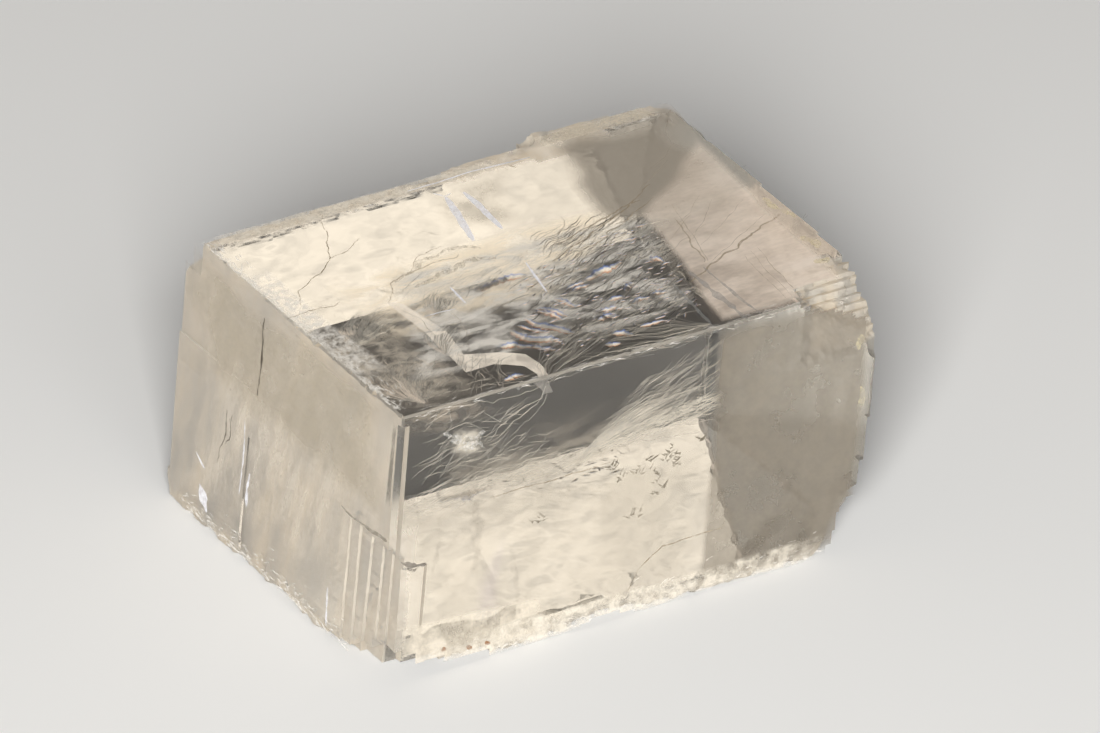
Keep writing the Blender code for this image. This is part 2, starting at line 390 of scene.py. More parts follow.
@dataclass
class WholeFaces:
    """Where the three marked faces are still whole, kept as square cells of each plane."""

    cell: float = 0.5
    spare: int = 4
    sample: int = 6
    tolerance: float = 0.6
    near: float = 1.2
    beyond: float = 0.2
    maps: dict[Face, np.ndarray] = field(default_factory=dict)

    def survey(self, mesh: bpy.types.Mesh) -> None:
        """Fills the cells under the facets that lie near each plane, and one cell round them.

        Each facet is sampled at mixes of its corners: place = sum of share * corner.

        Args:
            mesh: The crystal, all triangles.
        """
        corners = mesh_rows(mesh.polygons, "vertices", int)
        facets = AXES.read(mesh_rows(mesh.vertices, "co"))[corners]
        parts = range(self.sample + 1)
        mixes = [(i, j, self.sample - i - j) for i in parts for j in parts if i + j <= self.sample]
        shares = np.array(mixes) / self.sample
        for face in Face:
            side = face.value
            flat = (np.abs(facets[..., side.through] - side.level) < self.tolerance).all(axis=1)
            dots = shares @ facets[flat][..., list(side.axes)]
            size = [int(AXES.lengths[axis] / self.cell) + 2 * self.spare for axis in side.axes]
            spots = self.cells_of(dots, size)
            cells = np.zeros(size, bool)
            for row, column in np.ndindex(3, 3):
                cells[spots[..., 0] + row - 1, spots[..., 1] + column - 1] = True
            self.maps[face] = cells

    def cells_of(self, places: np.ndarray, size: list[int] | tuple[int, ...]) -> np.ndarray:
        """Turns places in millimetres on a face into its cell numbers, kept off the map's border."""
        numbers = np.floor(places / self.cell).astype(int) + self.spare
        return np.clip(numbers, 1, np.array(size) - 2)

    def holds(self, spots: np.ndarray) -> np.ndarray:
        """Whether each place is in or on the crystal, and not over a part that is broken off.

        Args:
            spots: (along, back, up) rows.

        Returns:
            One truth value per row.
        """
        inside = (spots > -self.beyond) & (spots < np.array(AXES.lengths) + self.beyond)
        held = inside.all(axis=-1)
        for face, cells in self.maps.items():
            side = face.value
            under = np.abs(spots[:, side.through] - side.level) < self.near
            numbers = self.cells_of(spots[:, list(side.axes)], cells.shape)
            held &= ~under | cells[numbers[:, 0], numbers[:, 1]]
        return held


WHOLE = WholeFaces()


# Surfaces


def new_object(name: str, data: bpy.types.ID) -> bpy.types.Object:
    """Puts an object into the scene.

    Args:
        name: Its name.
        data: Its mesh, light or camera.

    Returns:
        The new object.
    """
    made = bpy.data.objects.new(name, data)
    bpy.context.scene.collection.objects.link(made)
    return made


def grids_object(
    name: str, grids: np.ndarray, uv: np.ndarray, material: bpy.types.Material, fade: np.ndarray | None = None
) -> bpy.types.Object:
    """Makes one object of several grids of points: each point is joined to its next row and column.

    Faces over places where the crystal is broken off are left away.

    Args:
        name: The piece's name.
        grids: Points in metres, as (grid, row, column, xyz).
        uv: Pattern coordinates of the same grids, as (grid, row, column, uv).
        material: Its finish.
        fade: How strongly it shows at each point, as (grid, row, column), or 1 all over.

    Returns:
        The new object, riding on the crystal's body.
    """
    number = np.arange(grids[..., 0].size).reshape(grids.shape[:3])
    corners = [number[:, :-1, :-1], number[:, 1:, :-1], number[:, 1:, 1:], number[:, :-1, 1:]]
    faces = np.stack(corners, axis=-1).reshape(-1, 4)
    points = grids.reshape(-1, 3)
    faces = faces[WHOLE.holds(AXES.read(points[faces].mean(axis=1)))]
    used, faces = np.unique(faces, return_inverse=True)
    faces = faces.reshape(-1, 4)
    mesh = bpy.data.meshes.new(name)
    mesh.from_pydata(points[used].tolist(), [], faces.tolist())
    layer = mesh.uv_layers.new(name="pattern")
    layer.data.foreach_set("uv", uv.reshape(-1, 2)[used][faces.ravel()].astype(np.float32).ravel())
    store(mesh, "fade", "POINT", (np.ones(number.size) if fade is None else fade.ravel())[used])
    mesh.materials.append(material)
    obj = new_object(name, mesh)
    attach(obj, BODY)
    return obj


# Finishes


@dataclass(frozen=True)
class OpticalCalcite:
    """Optical calcite split along its cleavage: glass-clear, with faces that are a little wavy.

    The faces are smooth because a cleavage plane follows one layer of atoms. Worn edges and the left
    face are matt from tiny splinters, and scatter a soft milky light.
    """

    name: str = "cleaved_optical_calcite"
    tint: str = "FCFAF5"
    milk_tint: str = "EDDCC2"
    full_milk: float = 0.62
    full_roughness: float = 0.6
    inner_haze: float = 0.3
    absorption: str = "F7EFDE"
    density: float = 5.0
    index: float = 1.658
    patch_mm: Triple = (4.0, 4.0, 26.0)
    patch_limits: Pair = (0.3, 0.7)
    patch_share: Pair = (0.62, 1.2)
    wave_mm: float = 13.0
    wave_height_mm: float = 0.1
    grain_mm: float = 0.9
    grain_height_mm: float = 0.04

    def make(self) -> bpy.types.Material:
        """Mixes clear, matt and milky calcite by the crystal's own wear, haze and milk.

        Returns:
            The material.
        """
        material, tree, shader = new_material(self.name)
        where = add(tree, "TexCoord", out="Object")
        names = ("wear", "haze", "milk")
        wear, haze, milk = (add(tree, "Attribute", out="Fac", attribute_name=name) for name in names)
        absorb = add(tree, "VolumeAbsorption", {"Color": linear(self.absorption), "Density": self.density})
        fill(tree.nodes["Material Output"], {"Volume": absorb})
        scale = tuple(1 / (size * MM) for size in self.patch_mm)
        drawn_out = add(tree, "VectorMath", (where, scale), operation="MULTIPLY")
        patch = add(tree, "TexNoise", {"Vector": drawn_out, "Scale": 1.0, "Detail": 5.0, "Roughness": 0.55})
        uneven = add(tree, "MapRange", (patch, *self.patch_limits, *self.patch_share))
        inner = add(tree, "NewGeometry", out="Backfacing")
        seen_within = add(tree, "MapRange", (inner, 0.0, 1.0, 1.0, self.inner_haze))
        matt = add(tree, "Math", (haze, uneven), operation="MULTIPLY")
        matt = add(tree, "Math", (matt, wear), operation="ADD")
        matt = add(tree, "Math", (matt, seen_within), operation="MULTIPLY", use_clamp=True)
        outside = add(tree, "Math", (1.0, inner), operation="SUBTRACT")
        cloudy = add(tree, "Math", (milk, uneven), operation="MULTIPLY")
        cloudy = add(tree, "Math", (cloudy, outside), operation="MULTIPLY", use_clamp=True)
        tints = {0: cloudy, 6: linear(self.tint), 7: linear(self.milk_tint)}
        wave = add(tree, "TexNoise", {"Vector": where, "Scale": 1 / (self.wave_mm * MM), "Detail": 2.0})
        wavy = add(tree, "Bump", {"Height": wave, "Distance": self.wave_height_mm * MM})
        grain = add(tree, "TexNoise", {"Vector": where, "Scale": 1 / (self.grain_mm * MM), "Detail": 2.0})
        height = self.grain_height_mm * MM
        grainy = add(tree, "Bump", {"Height": grain, "Distance": height, "Strength": matt, "Normal": wavy})
        dress = {
            "IOR": self.index,
            "Base Color": add(tree, "Mix", tints, 2, data_type="RGBA"),
            "Roughness": add(tree, "Math", (matt, self.full_roughness), operation="MULTIPLY"),
            "Transmission Weight": add(tree, "MapRange", (cloudy, 0.0, 1.0, 1.0, 1 - self.full_milk)),
            "Normal": grainy,
        }
        fill(shader, dress)
        return material


@dataclass(frozen=True)
class AirFilledCrack:
    """Air in a crack thinner than a hair: light that meets it at a slant is thrown back whole.

    So it shines like a silvery mirror that is a little matt, and its gaps show the clear crystal.
    """

    name: str
    colour: str = "F4F1EA"
    roughness: float = 0.2
    cover: Pair = (1.0, 1.0)
    patch_mm: Pair = (3.0, 3.0)
    limits: Pair = (0.35, 0.65)
    grain_mm: float = 0.7
    grain_height_mm: float = 0.008
    seen_behind: float = 0.15

    def make(self) -> bpy.types.Material:
        """Makes a mirror with gaps. It is fainter from behind, where it throws less light to the eye.

        Returns:
            The material.
        """
        material, tree, shader = new_material(self.name)
        where = add(tree, "UVMap", uv_map="pattern")
        grain = add(tree, "TexNoise", {"Vector": where, "Scale": 1 / self.grain_mm})
        scale = (1 / self.patch_mm[0], 1 / self.patch_mm[1], 1)
        scaled = add(tree, "VectorMath", (where, scale), operation="MULTIPLY")
        look = {"Vector": scaled, "Scale": 1.0, "Detail": 6.0, "Roughness": 0.6, "Distortion": 0.6}
        patch = add(tree, "TexNoise", look)
        dress = {
            "Base Color": linear(self.colour),
            "Metallic": 1.0,
            "Roughness": self.roughness,
            "Normal": add(tree, "Bump", {"Height": grain, "Distance": self.grain_height_mm * MM}),
            "Alpha": film_cover(tree, patch, self.limits, self.cover, self.seen_behind, "SMOOTHSTEP"),
        }
        fill(shader, dress)
        return material


@dataclass(frozen=True)
class FringedCrack:
    """A crack that closes to the width of a light wave, so its edges split white into colours."""

    name: str = "thin_film_crack"
    colours: tuple[tuple[float, str], ...] = (
        (0.14, "F09A48"),
        (0.32, "FFF8EE"),
        (0.6, "FFFFFF"),
        (0.82, "6796F0"),
    )
    roughness: float = 0.12

    def make(self) -> bpy.types.Material:
        """Makes a mirror with a ramp of colours across the ribbon, clear at both of its edges.

        Returns:
            The material.
        """
        material, tree, shader = new_material(self.name)
        where = add(tree, "UVMap", uv_map="pattern")
        across = add(tree, "SeparateXYZ", (where,), 1)
        ramp = add(tree, "ValToRGB", (add(tree, "MapRange", (across, -1.0, 1.0)),))
        elements = ramp.node.color_ramp.elements
        while len(elements) < len(self.colours):
            elements.new(0.5)
        for number, (place, colour) in enumerate(self.colours):
            elements[number].position = place
            elements[number].color = linear(colour)
        square = add(tree, "Math", (across, across), operation="MULTIPLY")
        inside = add(tree, "Math", (1.0, square), operation="SUBTRACT")
        fade = add(tree, "Attribute", out="Fac", attribute_name="fade")
        alpha = add(tree, "Math", (inside, fade), operation="MULTIPLY", use_clamp=True)
        fill(shader, {"Base Color": ramp, "Metallic": 1.0, "Roughness": self.roughness, "Alpha": alpha})
        return material


@dataclass(frozen=True)
class MattMark:
    """A matt mark on the outside, thin enough to see through: dust, a stain, the lip of a crack, and on some
    faces a film of painted shade, sheen or reflection.
    """

    name: str
    colours: tuple[str, str] = ("6F6250", "A1937C")
    cover: Pair = (0.35, 0.95)
    patch_mm: float = 0.8
    roughness: float = 0.7
    drawn_out: Triple = (1.0, 1.0, 1.0)
    limits: Pair = (0.35, 0.62)
    seen_within: float = 0.15

    def make(self) -> bpy.types.Material:
        """Makes a film whose colour and cover change with noise. From within it is nearly clear.

        Returns:
            The material.
        """
        material, tree, shader = new_material(self.name)
        where = add(tree, "TexCoord", out="Object")
        scale = tuple(1 / (self.patch_mm * MM * long) for long in self.drawn_out)
        scaled = add(tree, "VectorMath", (where, scale), operation="MULTIPLY")
        noise = add(tree, "TexNoise", {"Vector": scaled, "Scale": 1.0, "Detail": 4.0, "Roughness": 0.65})
        tints = {0: noise, 6: linear(self.colours[0]), 7: linear(self.colours[1])}
        dress = {
            "Base Color": add(tree, "Mix", tints, 2, data_type="RGBA"),
            "Roughness": self.roughness,
            "Alpha": film_cover(tree, noise, self.limits, self.cover, self.seen_within, "LINEAR"),
        }
        fill(shader, dress)
        return material


@dataclass(frozen=True)
class StudioPaper:
    """Matt pale studio paper, which gives an even soft ground."""

    name: str = "matt_studio_paper"
    colour: str = "F3F3F2"
    roughness: float = 0.9

    def make(self) -> bpy.types.Material:
        """Makes the paper, the same all over.

        Returns:
            The material.
        """
        material, _, shader = new_material(self.name)
        fill(shader, {"Base Color": linear(self.colour), "Roughness": self.roughness})
        return material


def ribbons(
    name: str,
    marks: np.ndarray,
    depth: np.ndarray | float,
    widths: np.ndarray,
    face: Face,
    finish: AirFilledCrack | FringedCrack | MattMark,
    facing: Triple | np.ndarray | None = None,
    fade: np.ndarray | None = None,
) -> list[bpy.types.Object]:
    """Carries a flat profile along lines: point = path +- width / 2 * (facing x tangent).

    The pattern coordinates are millimetres along a ribbon, and -1 to 1 across it.

    Args:
        name: The piece's name.
        marks: Places on the face, as (line, step, two numbers).
        depth: Millimetres below the face.
        widths: Full widths in millimetres, as (line, step).
        face: The face that the marks are on.
        finish: The ribbons' finish.
        facing: Unit normals that they turn to, one or one per line, or the face's own.
        fade: How strongly they show, as (line, step, side), or 1 all over.

    Returns:
        The one object that holds all the ribbons.
    """
    paths = AXES.place(face.spots(marks, depth))
    tangent = np.gradient(paths, axis=1)
    tangent /= np.linalg.norm(tangent, axis=-1, keepdims=True) + TINY
    facing = np.atleast_2d(face.value.outward if facing is None else facing)
    across = np.cross(facing[:, None, :], tangent)
    across /= np.linalg.norm(across, axis=-1, keepdims=True) + TINY
    half = across * (widths[..., None] * MM / 2)
    grids = np.stack([paths - half, paths + half], axis=2)
    steps = np.linalg.norm(np.diff(paths, axis=1), axis=-1) / MM
    along = np.concatenate([np.zeros((len(paths), 1)), np.cumsum(steps, axis=1)], axis=1)
    uv = np.stack([np.stack([along, np.full_like(along, side)], -1) for side in (-1, 1)], 2)
    return [grids_object(name, grids, uv, finish.make(), fade)]


# The crystal


@dataclass(frozen=True)
class Zone:
    """A box in the crystal's own axes, open on the sides that are endless."""

    low: Triple
    high: Triple

    def gap(self, spots: np.ndarray) -> np.ndarray:
        """How far each place is inside the box: its smallest gap to a side, negative outside."""
        return np.minimum(spots - np.array(self.low), np.array(self.high) - spots).min(axis=1)


@dataclass(frozen=True)
class Crumbled(Zone):
    """A crumbled stretch of the rim, and how broken and milky it is."""

    depth: float
    milk: float
    soft: float = 1.2

    def share(self, spots: np.ndarray) -> np.ndarray:
        """How crumbled each place is, from 0 to 1: gap / soft."""
        return np.clip(self.gap(spots) / self.soft, 0, 1)


END = math.inf


@dataclass
class CrystalBody:
    """The rhomb itself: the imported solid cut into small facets, with its edges worn and nibbled.

    A facet counts as a cleavage face from a turn of broken_turn on, as a ledge from step_from inside
    the outermost face of its kind, and as facing up or forwards from a turn of slight_turn on.
    """

    name: str = "calcite_rhomb"
    merge: float = 1e-6
    flatness: float = math.radians(0.4)
    pitch: float = 1.25
    first_cut: float = 0.4
    wear_reach: float = 0.55
    nibble: float = 0.16
    nibble_mm: Pair = (1.1, 0.5)
    rubble_mm: Pair = (1.7, 0.8)
    hidden_wear: float = 0.08
    hidden: tuple[Zone, ...] = (
        Zone((-END, 46.0, -END), (END, END, 34.0)),
        Zone((66.0, 4.0, -END), (END, END, 34.0)),
    )
    quiet_wear: float = 0.35
    quiet: Zone = Zone((-END, -END, 36.8), (58.0, 1.2, END))
    broken_turn: float = 0.985
    slight_turn: float = 0.2
    step_from: float = 0.35
    left_reach: float = 4.0
    broken_haze: float = 3.0
    left_haze: float = 0.8
    right_haze: float = 1.1
    ledge_haze: float = 3.0
    inner_step_haze: float = 0.3
    left_milk: float = 0.68
    riser_milk: float = 0.3
    ledge_milk: float = 0.8
    front_ledge_milk: float = 0.1
    patch_level: float = 0.85
    patch_swing: float = 0.45
    patch_mm: float = 1.4
    crumbled: tuple[Crumbled, ...] = (
        Crumbled((59.0, -2.0, 29.0), (73.0, 8.0, 41.0), 1.1, 0.75),
        Crumbled((-3.0, 43.5, 33.0), (49.0, 53.0, 41.0), 0.2, 0.8),
        Crumbled((47.0, 42.6, 33.0), (60.0, 53.0, 41.0), 0.2, 0.8),
        Crumbled((56.0, 46.0, 33.0), (71.0, 53.0, 41.0), 0.3, 0.6),
        Crumbled((-1.0, -2.0, -3.0), (71.0, 4.0, 3.0), 0.3, 0.6),
        Crumbled((-3.0, -2.0, -3.0), (4.0, 50.0, 3.0), 0.22, 0.75),
        Crumbled((-3.0, -3.0, -3.0), (4.0, 13.0, 22.0), 0.16, 0.5),
    )
    finish: OpticalCalcite = OpticalCalcite()

    def cut(self) -> bmesh.types.BMesh:
        """Merges a copy of the solid's mesh and cuts it along evenly spaced cleavage planes.

        Returns:
            The cut mesh, closed, all triangles, finer where it is crumbled.
        """
        form = bmesh.new()
        form.from_mesh(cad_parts[CAD_NODE].data)
        bmesh.ops.remove_doubles(form, verts=form.verts, dist=self.merge)
        bmesh.ops.dissolve_limit(form, angle_limit=self.flatness, verts=form.verts, edges=form.edges)
        for axis, length in enumerate(AXES.lengths):
            for spot in np.arange(-self.first_cut, length + self.first_cut, self.pitch):
                bmesh.ops.bisect_plane(
                    form,
                    geom=[*form.verts, *form.edges, *form.faces],
                    dist=self.merge,
                    plane_co=Vector(AXES.place(spot * np.eye(3)[axis])),
                    plane_no=Vector(AXES.normals()[axis]).normalized(),
                )
        spots = AXES.read(np.array([corner.co for corner in form.verts]))
        rubble = np.max([stretch.share(spots) for stretch in self.crumbled], axis=0) > 0
        form.verts.index_update()
        broken = [edge for edge in form.edges if all(rubble[corner.index] for corner in edge.verts)]
        bmesh.ops.subdivide_edges(form, edges=broken, cuts=1, use_grid_fill=True)
        bmesh.ops.triangulate(form, faces=form.faces)
        return form

    def edge_nearness(self, spots: np.ndarray) -> np.ndarray:
        """How near each place is to an edge: exp(-distance to the second nearest face / reach).

        Args:
            spots: (along, back, up) rows.

        Returns:
            One value per row, 1 on an edge and near 0 a few millimetres away.
        """
        gaps = np.sort(np.clip(np.minimum(spots, np.array(AXES.lengths) - spots), 0, None), axis=1)
        near = np.exp(-gaps[:, 1] / self.wear_reach)
        near = np.where(self.quiet.gap(spots) > 0, near * self.quiet_wear, near)
        hidden = np.max([zone.gap(spots) for zone in self.hidden], axis=0) > 0
        return np.where(hidden, near * self.hidden_wear, near)

    def face_finish(self, mesh: bpy.types.Mesh) -> tuple[np.ndarray, np.ndarray]:
        """How matt and how milky each face is: the ends and broken places most, the rest clear.

        Args:
            mesh: The cut crystal.

        Returns:
            Haze and milk, one value each per face, from 0 up.
        """
        middles = mesh_rows(mesh.polygons, "center")
        spots = AXES.read(middles)
        turned = mesh_rows(mesh.polygons, "normal") @ AXES.normals().T
        cleaved = np.abs(turned) > self.broken_turn
        broken = np.abs(turned).max(axis=1) < self.broken_turn
        outermost = np.where(turned > 0, np.abs(spots - np.array(AXES.lengths)), np.abs(spots))
        ledge = (cleaved & (outermost > self.step_from)).any(axis=1)
        rightward = turned[:, 0] > self.broken_turn
        leftward = turned[:, 0] < -self.broken_turn
        flank = ledge & (spots[:, 0] < self.left_reach) & (turned[:, 2] < self.slight_turn)
        left = leftward | flank
        haze = np.where(broken, self.broken_haze, 0.0)
        haze = np.where(rightward, self.right_haze, haze)
        haze = np.where(ledge & cleaved[:, 2], self.ledge_haze, haze)
        haze = np.where(ledge & cleaved[:, 1], self.inner_step_haze, haze)
        haze = np.where(left, self.left_haze, haze)
        milk = np.where((ledge | broken) & (turned[:, 2] > self.slight_turn), self.ledge_milk, 0.0)
        forward = (ledge | broken) & (turned[:, 1] < -self.slight_turn)
        milk = np.where(forward, self.front_ledge_milk, milk)
        milk = np.where(left, self.left_milk, milk)
        milk = np.where(left & (turned[:, 1] < -self.broken_turn), self.riser_milk, milk)
        patch = self.patch_level + self.patch_swing * lattice_noise(middles / MM, self.patch_mm, 9)
        for stretch in self.crumbled:
            share = stretch.share(spots) * np.clip(patch, 0, 1)
            haze = np.maximum(haze, share)
            milk = np.maximum(milk, share * stretch.milk)
        return haze, milk

    def build(self) -> list[bpy.types.Object]:
        """Makes the object: each point moves to the middle by its wear or crumbling times noise.

        Returns:
            The dressed crystal.
        """
        form = self.cut()
        mesh = bpy.data.meshes.new(self.name)
        form.to_mesh(mesh)
        form.free()
        points = mesh_rows(mesh.vertices, "co")
        spots = AXES.read(points)
        near = self.edge_nearness(spots)
        depth = near * roughly(points / MM, self.nibble_mm, 0.5, 5) * self.nibble
        rubble = roughly(points / MM, self.rubble_mm, 0.6, 7)
        for stretch in self.crumbled:
            depth = np.maximum(depth, stretch.share(spots) * rubble * stretch.depth)
        inward = AXES.place(np.array(AXES.lengths) / 2) - points
        inward /= np.linalg.norm(inward, axis=1, keepdims=True)
        points += inward * (depth * MM)[:, None]
        mesh.vertices.foreach_set("co", points.ravel())
        store(mesh, "wear", "POINT", near)
        haze, milk = self.face_finish(mesh)
        store(mesh, "haze", "FACE", haze)
        store(mesh, "milk", "FACE", milk)
        mesh.shade_flat()
        mesh.materials.append(self.finish.make())
        obj = new_object(self.name, mesh)
        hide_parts(CAD_NODE)
        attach(obj, BODY)
        WHOLE.survey(mesh)
        return [obj]


# Cracks inside the crystal


TOWARDS_TOP_LIGHT: Triple = (0.0, -0.44, 0.90)
TOWARDS_FRONT_LIGHT: Triple = (0.0, -0.87, 0.49)


@dataclass
class CleavageStrips:
    """A chevron of narrow cracks just under the top face, where two inner cleavage steps meet."""

    strips: tuple[tuple[str, float, Line, Line], ...] = (
        ("chevron_long_arm", 10.4, ((12.7, 23.8), (13.1, 15.6)), ((14.3, 22.4), (15.6, 14.6))),
        ("chevron_elbow", 6.6, ((13.1, 15.7), (12.5, 5.4)), ((15.6, 14.7), (14.5, 9.0))),
        (
            "chevron_short_arm",
            4.2,
            ((12.5, 5.4), (16.6, 5.4), (19.6, 3.3), (19.9, 1.1), (19.6, 0.2)),
            ((14.5, 9.0), (18.9, 7.3), (21.2, 5.6), (21.6, 2.6), (21.0, 0.2)),
        ),
    )
    slope: float = 0.41
    shallowest: float = 0.3
    cells: int = 36
    rows: int = 12
    waver: float = 0.07
    waver_mm: float = 1.5
    seed: int = 60
    finish: AirFilledCrack = AirFilledCrack(
        "air_filled_cleavage_crack", "F2EFEC", 0.13, (0.5, 0.9), limits=(0.3, 0.6)
    )

    def build(self) -> list[bpy.types.Object]:
        """Makes each strip between two lines: (1 - v) first + v second, sunk on a sloping plane.

        Returns:
            The strips.
        """
        material = self.finish.make()
        made = []
        v = np.linspace(0, 1, self.rows)[None, :, None]
        for number, (name, depth, *sides) in enumerate(self.strips):
            first, second = (resample(line, self.cells)[:, None, :] for line in sides)
            marks = jitter((1 - v) * first + v * second, self.waver, self.waver_mm, self.seed + number)
            sunk = np.maximum(depth - self.slope * marks[..., 1], self.shallowest)
            points = AXES.place(Face.TOP.spots(marks, sunk))
            made.append(grids_object(name, points[None], marks[None], material))
        return made


@dataclass(frozen=True)
class Fan:
    """Hairs that spread from a root to a line of ends, all in places on one face."""

    root: Pair
    ends: Line
    count: int
    bend: float = 0.15
    width: float = 0.05
    start: float = 0.0
    root_spread: float = 0.25
    reach: Pair = (0.55, 1.08)
    uneven: Pair = (0.5, 1.3)

    def hairs(self, steps: int, rng: np.random.Generator) -> tuple[np.ndarray, np.ndarray]:
        """Draws each hair: place = root + reach * (end - root) + bend * sin(pi * reach) sideways.

        Args:
            steps: How many places a hair has.
            rng: The random source.

        Returns:
            Places as (hair, step, two numbers), and widths as (hair, step).
        """
        one_each = (self.count, 1, 1)
        line = resample(self.ends, 400)
        ends = line[rng.integers(0, len(line), self.count)]
        root = np.array(self.root) + rng.normal(0, self.root_spread, (self.count, 2))
        first = self.start * rng.uniform(0.3, 1.0, one_each)
        last = rng.uniform(*self.reach, one_each)
        reach = first + np.linspace(0, 1, steps)[None, :, None] * (last - first)
        way = (ends - root)[:, None, :]
        side = np.stack([-way[..., 1], way[..., 0]], -1)
        bend = self.bend * rng.normal(0.6, 0.5, one_each)
        places = root[:, None, :] + reach * way + bend * np.sin(np.pi * reach) * side
        widths = self.width * rng.uniform(*self.uneven, (self.count, 1))
        return places, widths * taper(0.06, 0.97, 0.6, steps)[None]


@dataclass(frozen=True)
class Sweep:
    """Hairs that lie side by side in a four-sided patch of one face, all about the same way."""

    corners: Line
    towards: Pair
    length: Pair
    count: int
    turn: float = 0.18
    width: float = 0.055
    bend: float = 0.25
    uneven: Pair = (0.4, 1.4)

    def hairs(self, steps: int, rng: np.random.Generator) -> tuple[np.ndarray, np.ndarray]:
        """Draws each hair: place = middle + reach * length * direction, the direction turning slowly.

        Args:
            steps: How many places a hair has.
            rng: The random source.

        Returns:
            Places as (hair, step, two numbers), and widths as (hair, step).
        """
        u, v = rng.uniform(0, 1, (2, self.count))
        middles = four_corner_blend(self.corners, u, v)
        length = rng.uniform(*self.length, self.count)
        turn = math.atan2(self.towards[1], self.towards[0]) + rng.normal(0, self.turn, self.count)
        reach = np.linspace(-0.5, 0.5, steps)[None, :]
        bent = turn[:, None] + rng.normal(0, self.bend, (self.count, 1)) * reach
        places = middles[:, None, :] + directions(bent) * (reach * length[:, None])[..., None]
        widths = self.width * rng.uniform(*self.uneven, (self.count, 1))
        return places, widths * taper(0.04, 0.96, 0.7, steps)[None]


@dataclass
class FeatherCracks:
    """Healed cracks drawn by the fine hairs along which they closed, in fans and sweeps."""

    name: str
    face: Face
    facing: Triple
    bundles: tuple[Fan | Sweep, ...]
    depth: float = 0.7
    slope: float = 0.02
    shallowest: float = 0.25
    steps: int = 14
    waver: float = 0.5
    waver_mm: Pair = (2.4, 0.7)
    fine_waver: float = 0.3
    unevenness: float = 0.06
    seed: int = 11
    finish: AirFilledCrack = AirFilledCrack("healed_crack_hair")

    def build(self) -> list[bpy.types.Object]:
        """Makes all hairs, shaken a little, on a plane: depth - slope * distance from the middle.

        Returns:
            The one object that holds them.
        """
        rng = np.random.default_rng(self.seed)
        marks, widths = zip(*(bundle.hairs(self.steps, rng) for bundle in self.bundles))
        places = jitter(np.concatenate(marks), self.waver, self.waver_mm[0], self.seed)
        places = jitter(places, self.waver * self.fine_waver, self.waver_mm[1], self.seed + 5)
        sunk = self.depth - self.slope * (places[..., 1] - places[..., 1].mean())
        depth = np.maximum(sunk, self.shallowest)
        facing = scattered(self.facing, self.unevenness, len(places), rng)
        return ribbons(self.name, places, depth, np.concatenate(widths), self.face, self.finish, facing)


@dataclass
class CloudVeil:
    """A thin sheet: a healed crack that hangs in the crystal like a cloud, or a film on a face."""

    name: str
    face: Face
    outline: Line
    finish: AirFilledCrack | MattMark
    depth: float = -0.03
    slope: float = 0.0
    ruffle: float = 0.0
    bands: int = 1
    overlap: float = 0.3
    fade_in: float = 2.2
    ragged: float = 0.35
    lean: float = 0.0
    cells: int = 60
    wave_mm: float = 5.0
    shallowest: float = 0.25
    seed: int = 21

    def build(self) -> list[bpy.types.Object]:
        """Makes one sheet per band: a blend of four corners, ruffled by noise, fading at its border.

        Each band starts again at the same depth, so a wide veil stays near its face, and fades into
        the next one where they overlap. A lean makes it fainter towards one side.

        Returns:
            The one object that holds the sheets.
        """
        local = np.linspace(0, 1, self.cells // self.bands + 1)[None, None, :]
        reach = (1 + (self.bands > 1) * self.overlap) / self.bands
        first = np.linspace(0, 1 - reach, self.bands)[:, None, None]
        across = np.linspace(0, 1, self.cells)[None, :, None]
        u, v, local = np.broadcast_arrays(across, first + local * reach, local)
        marks = four_corner_blend(self.outline, u, v)
        wave = lattice_noise(marks, self.wave_mm, self.seed)
        middle = marks[..., 1].mean(axis=(1, 2), keepdims=True)
        depth = self.depth - self.slope * (marks[..., 1] - middle) + self.ruffle * wave
        if self.depth > 0:
            depth = np.maximum(depth, self.shallowest)
        border = np.minimum(np.minimum(u, 1 - u), np.minimum(v, 1 - v)) * 2
        fade = np.clip(border * self.fade_in + self.ragged * wave, 0, 1)
        if self.bands > 1:
            fade = fade * np.clip(np.minimum(local, 1 - local) / self.overlap, 0, 1)
        fade = smooth(fade * (1 - abs(self.lean) * (1 - v if self.lean > 0 else v)))
        points = AXES.place(self.face.spots(marks, depth))
        return [grids_object(self.name, points, marks, self.finish.make(), fade)]


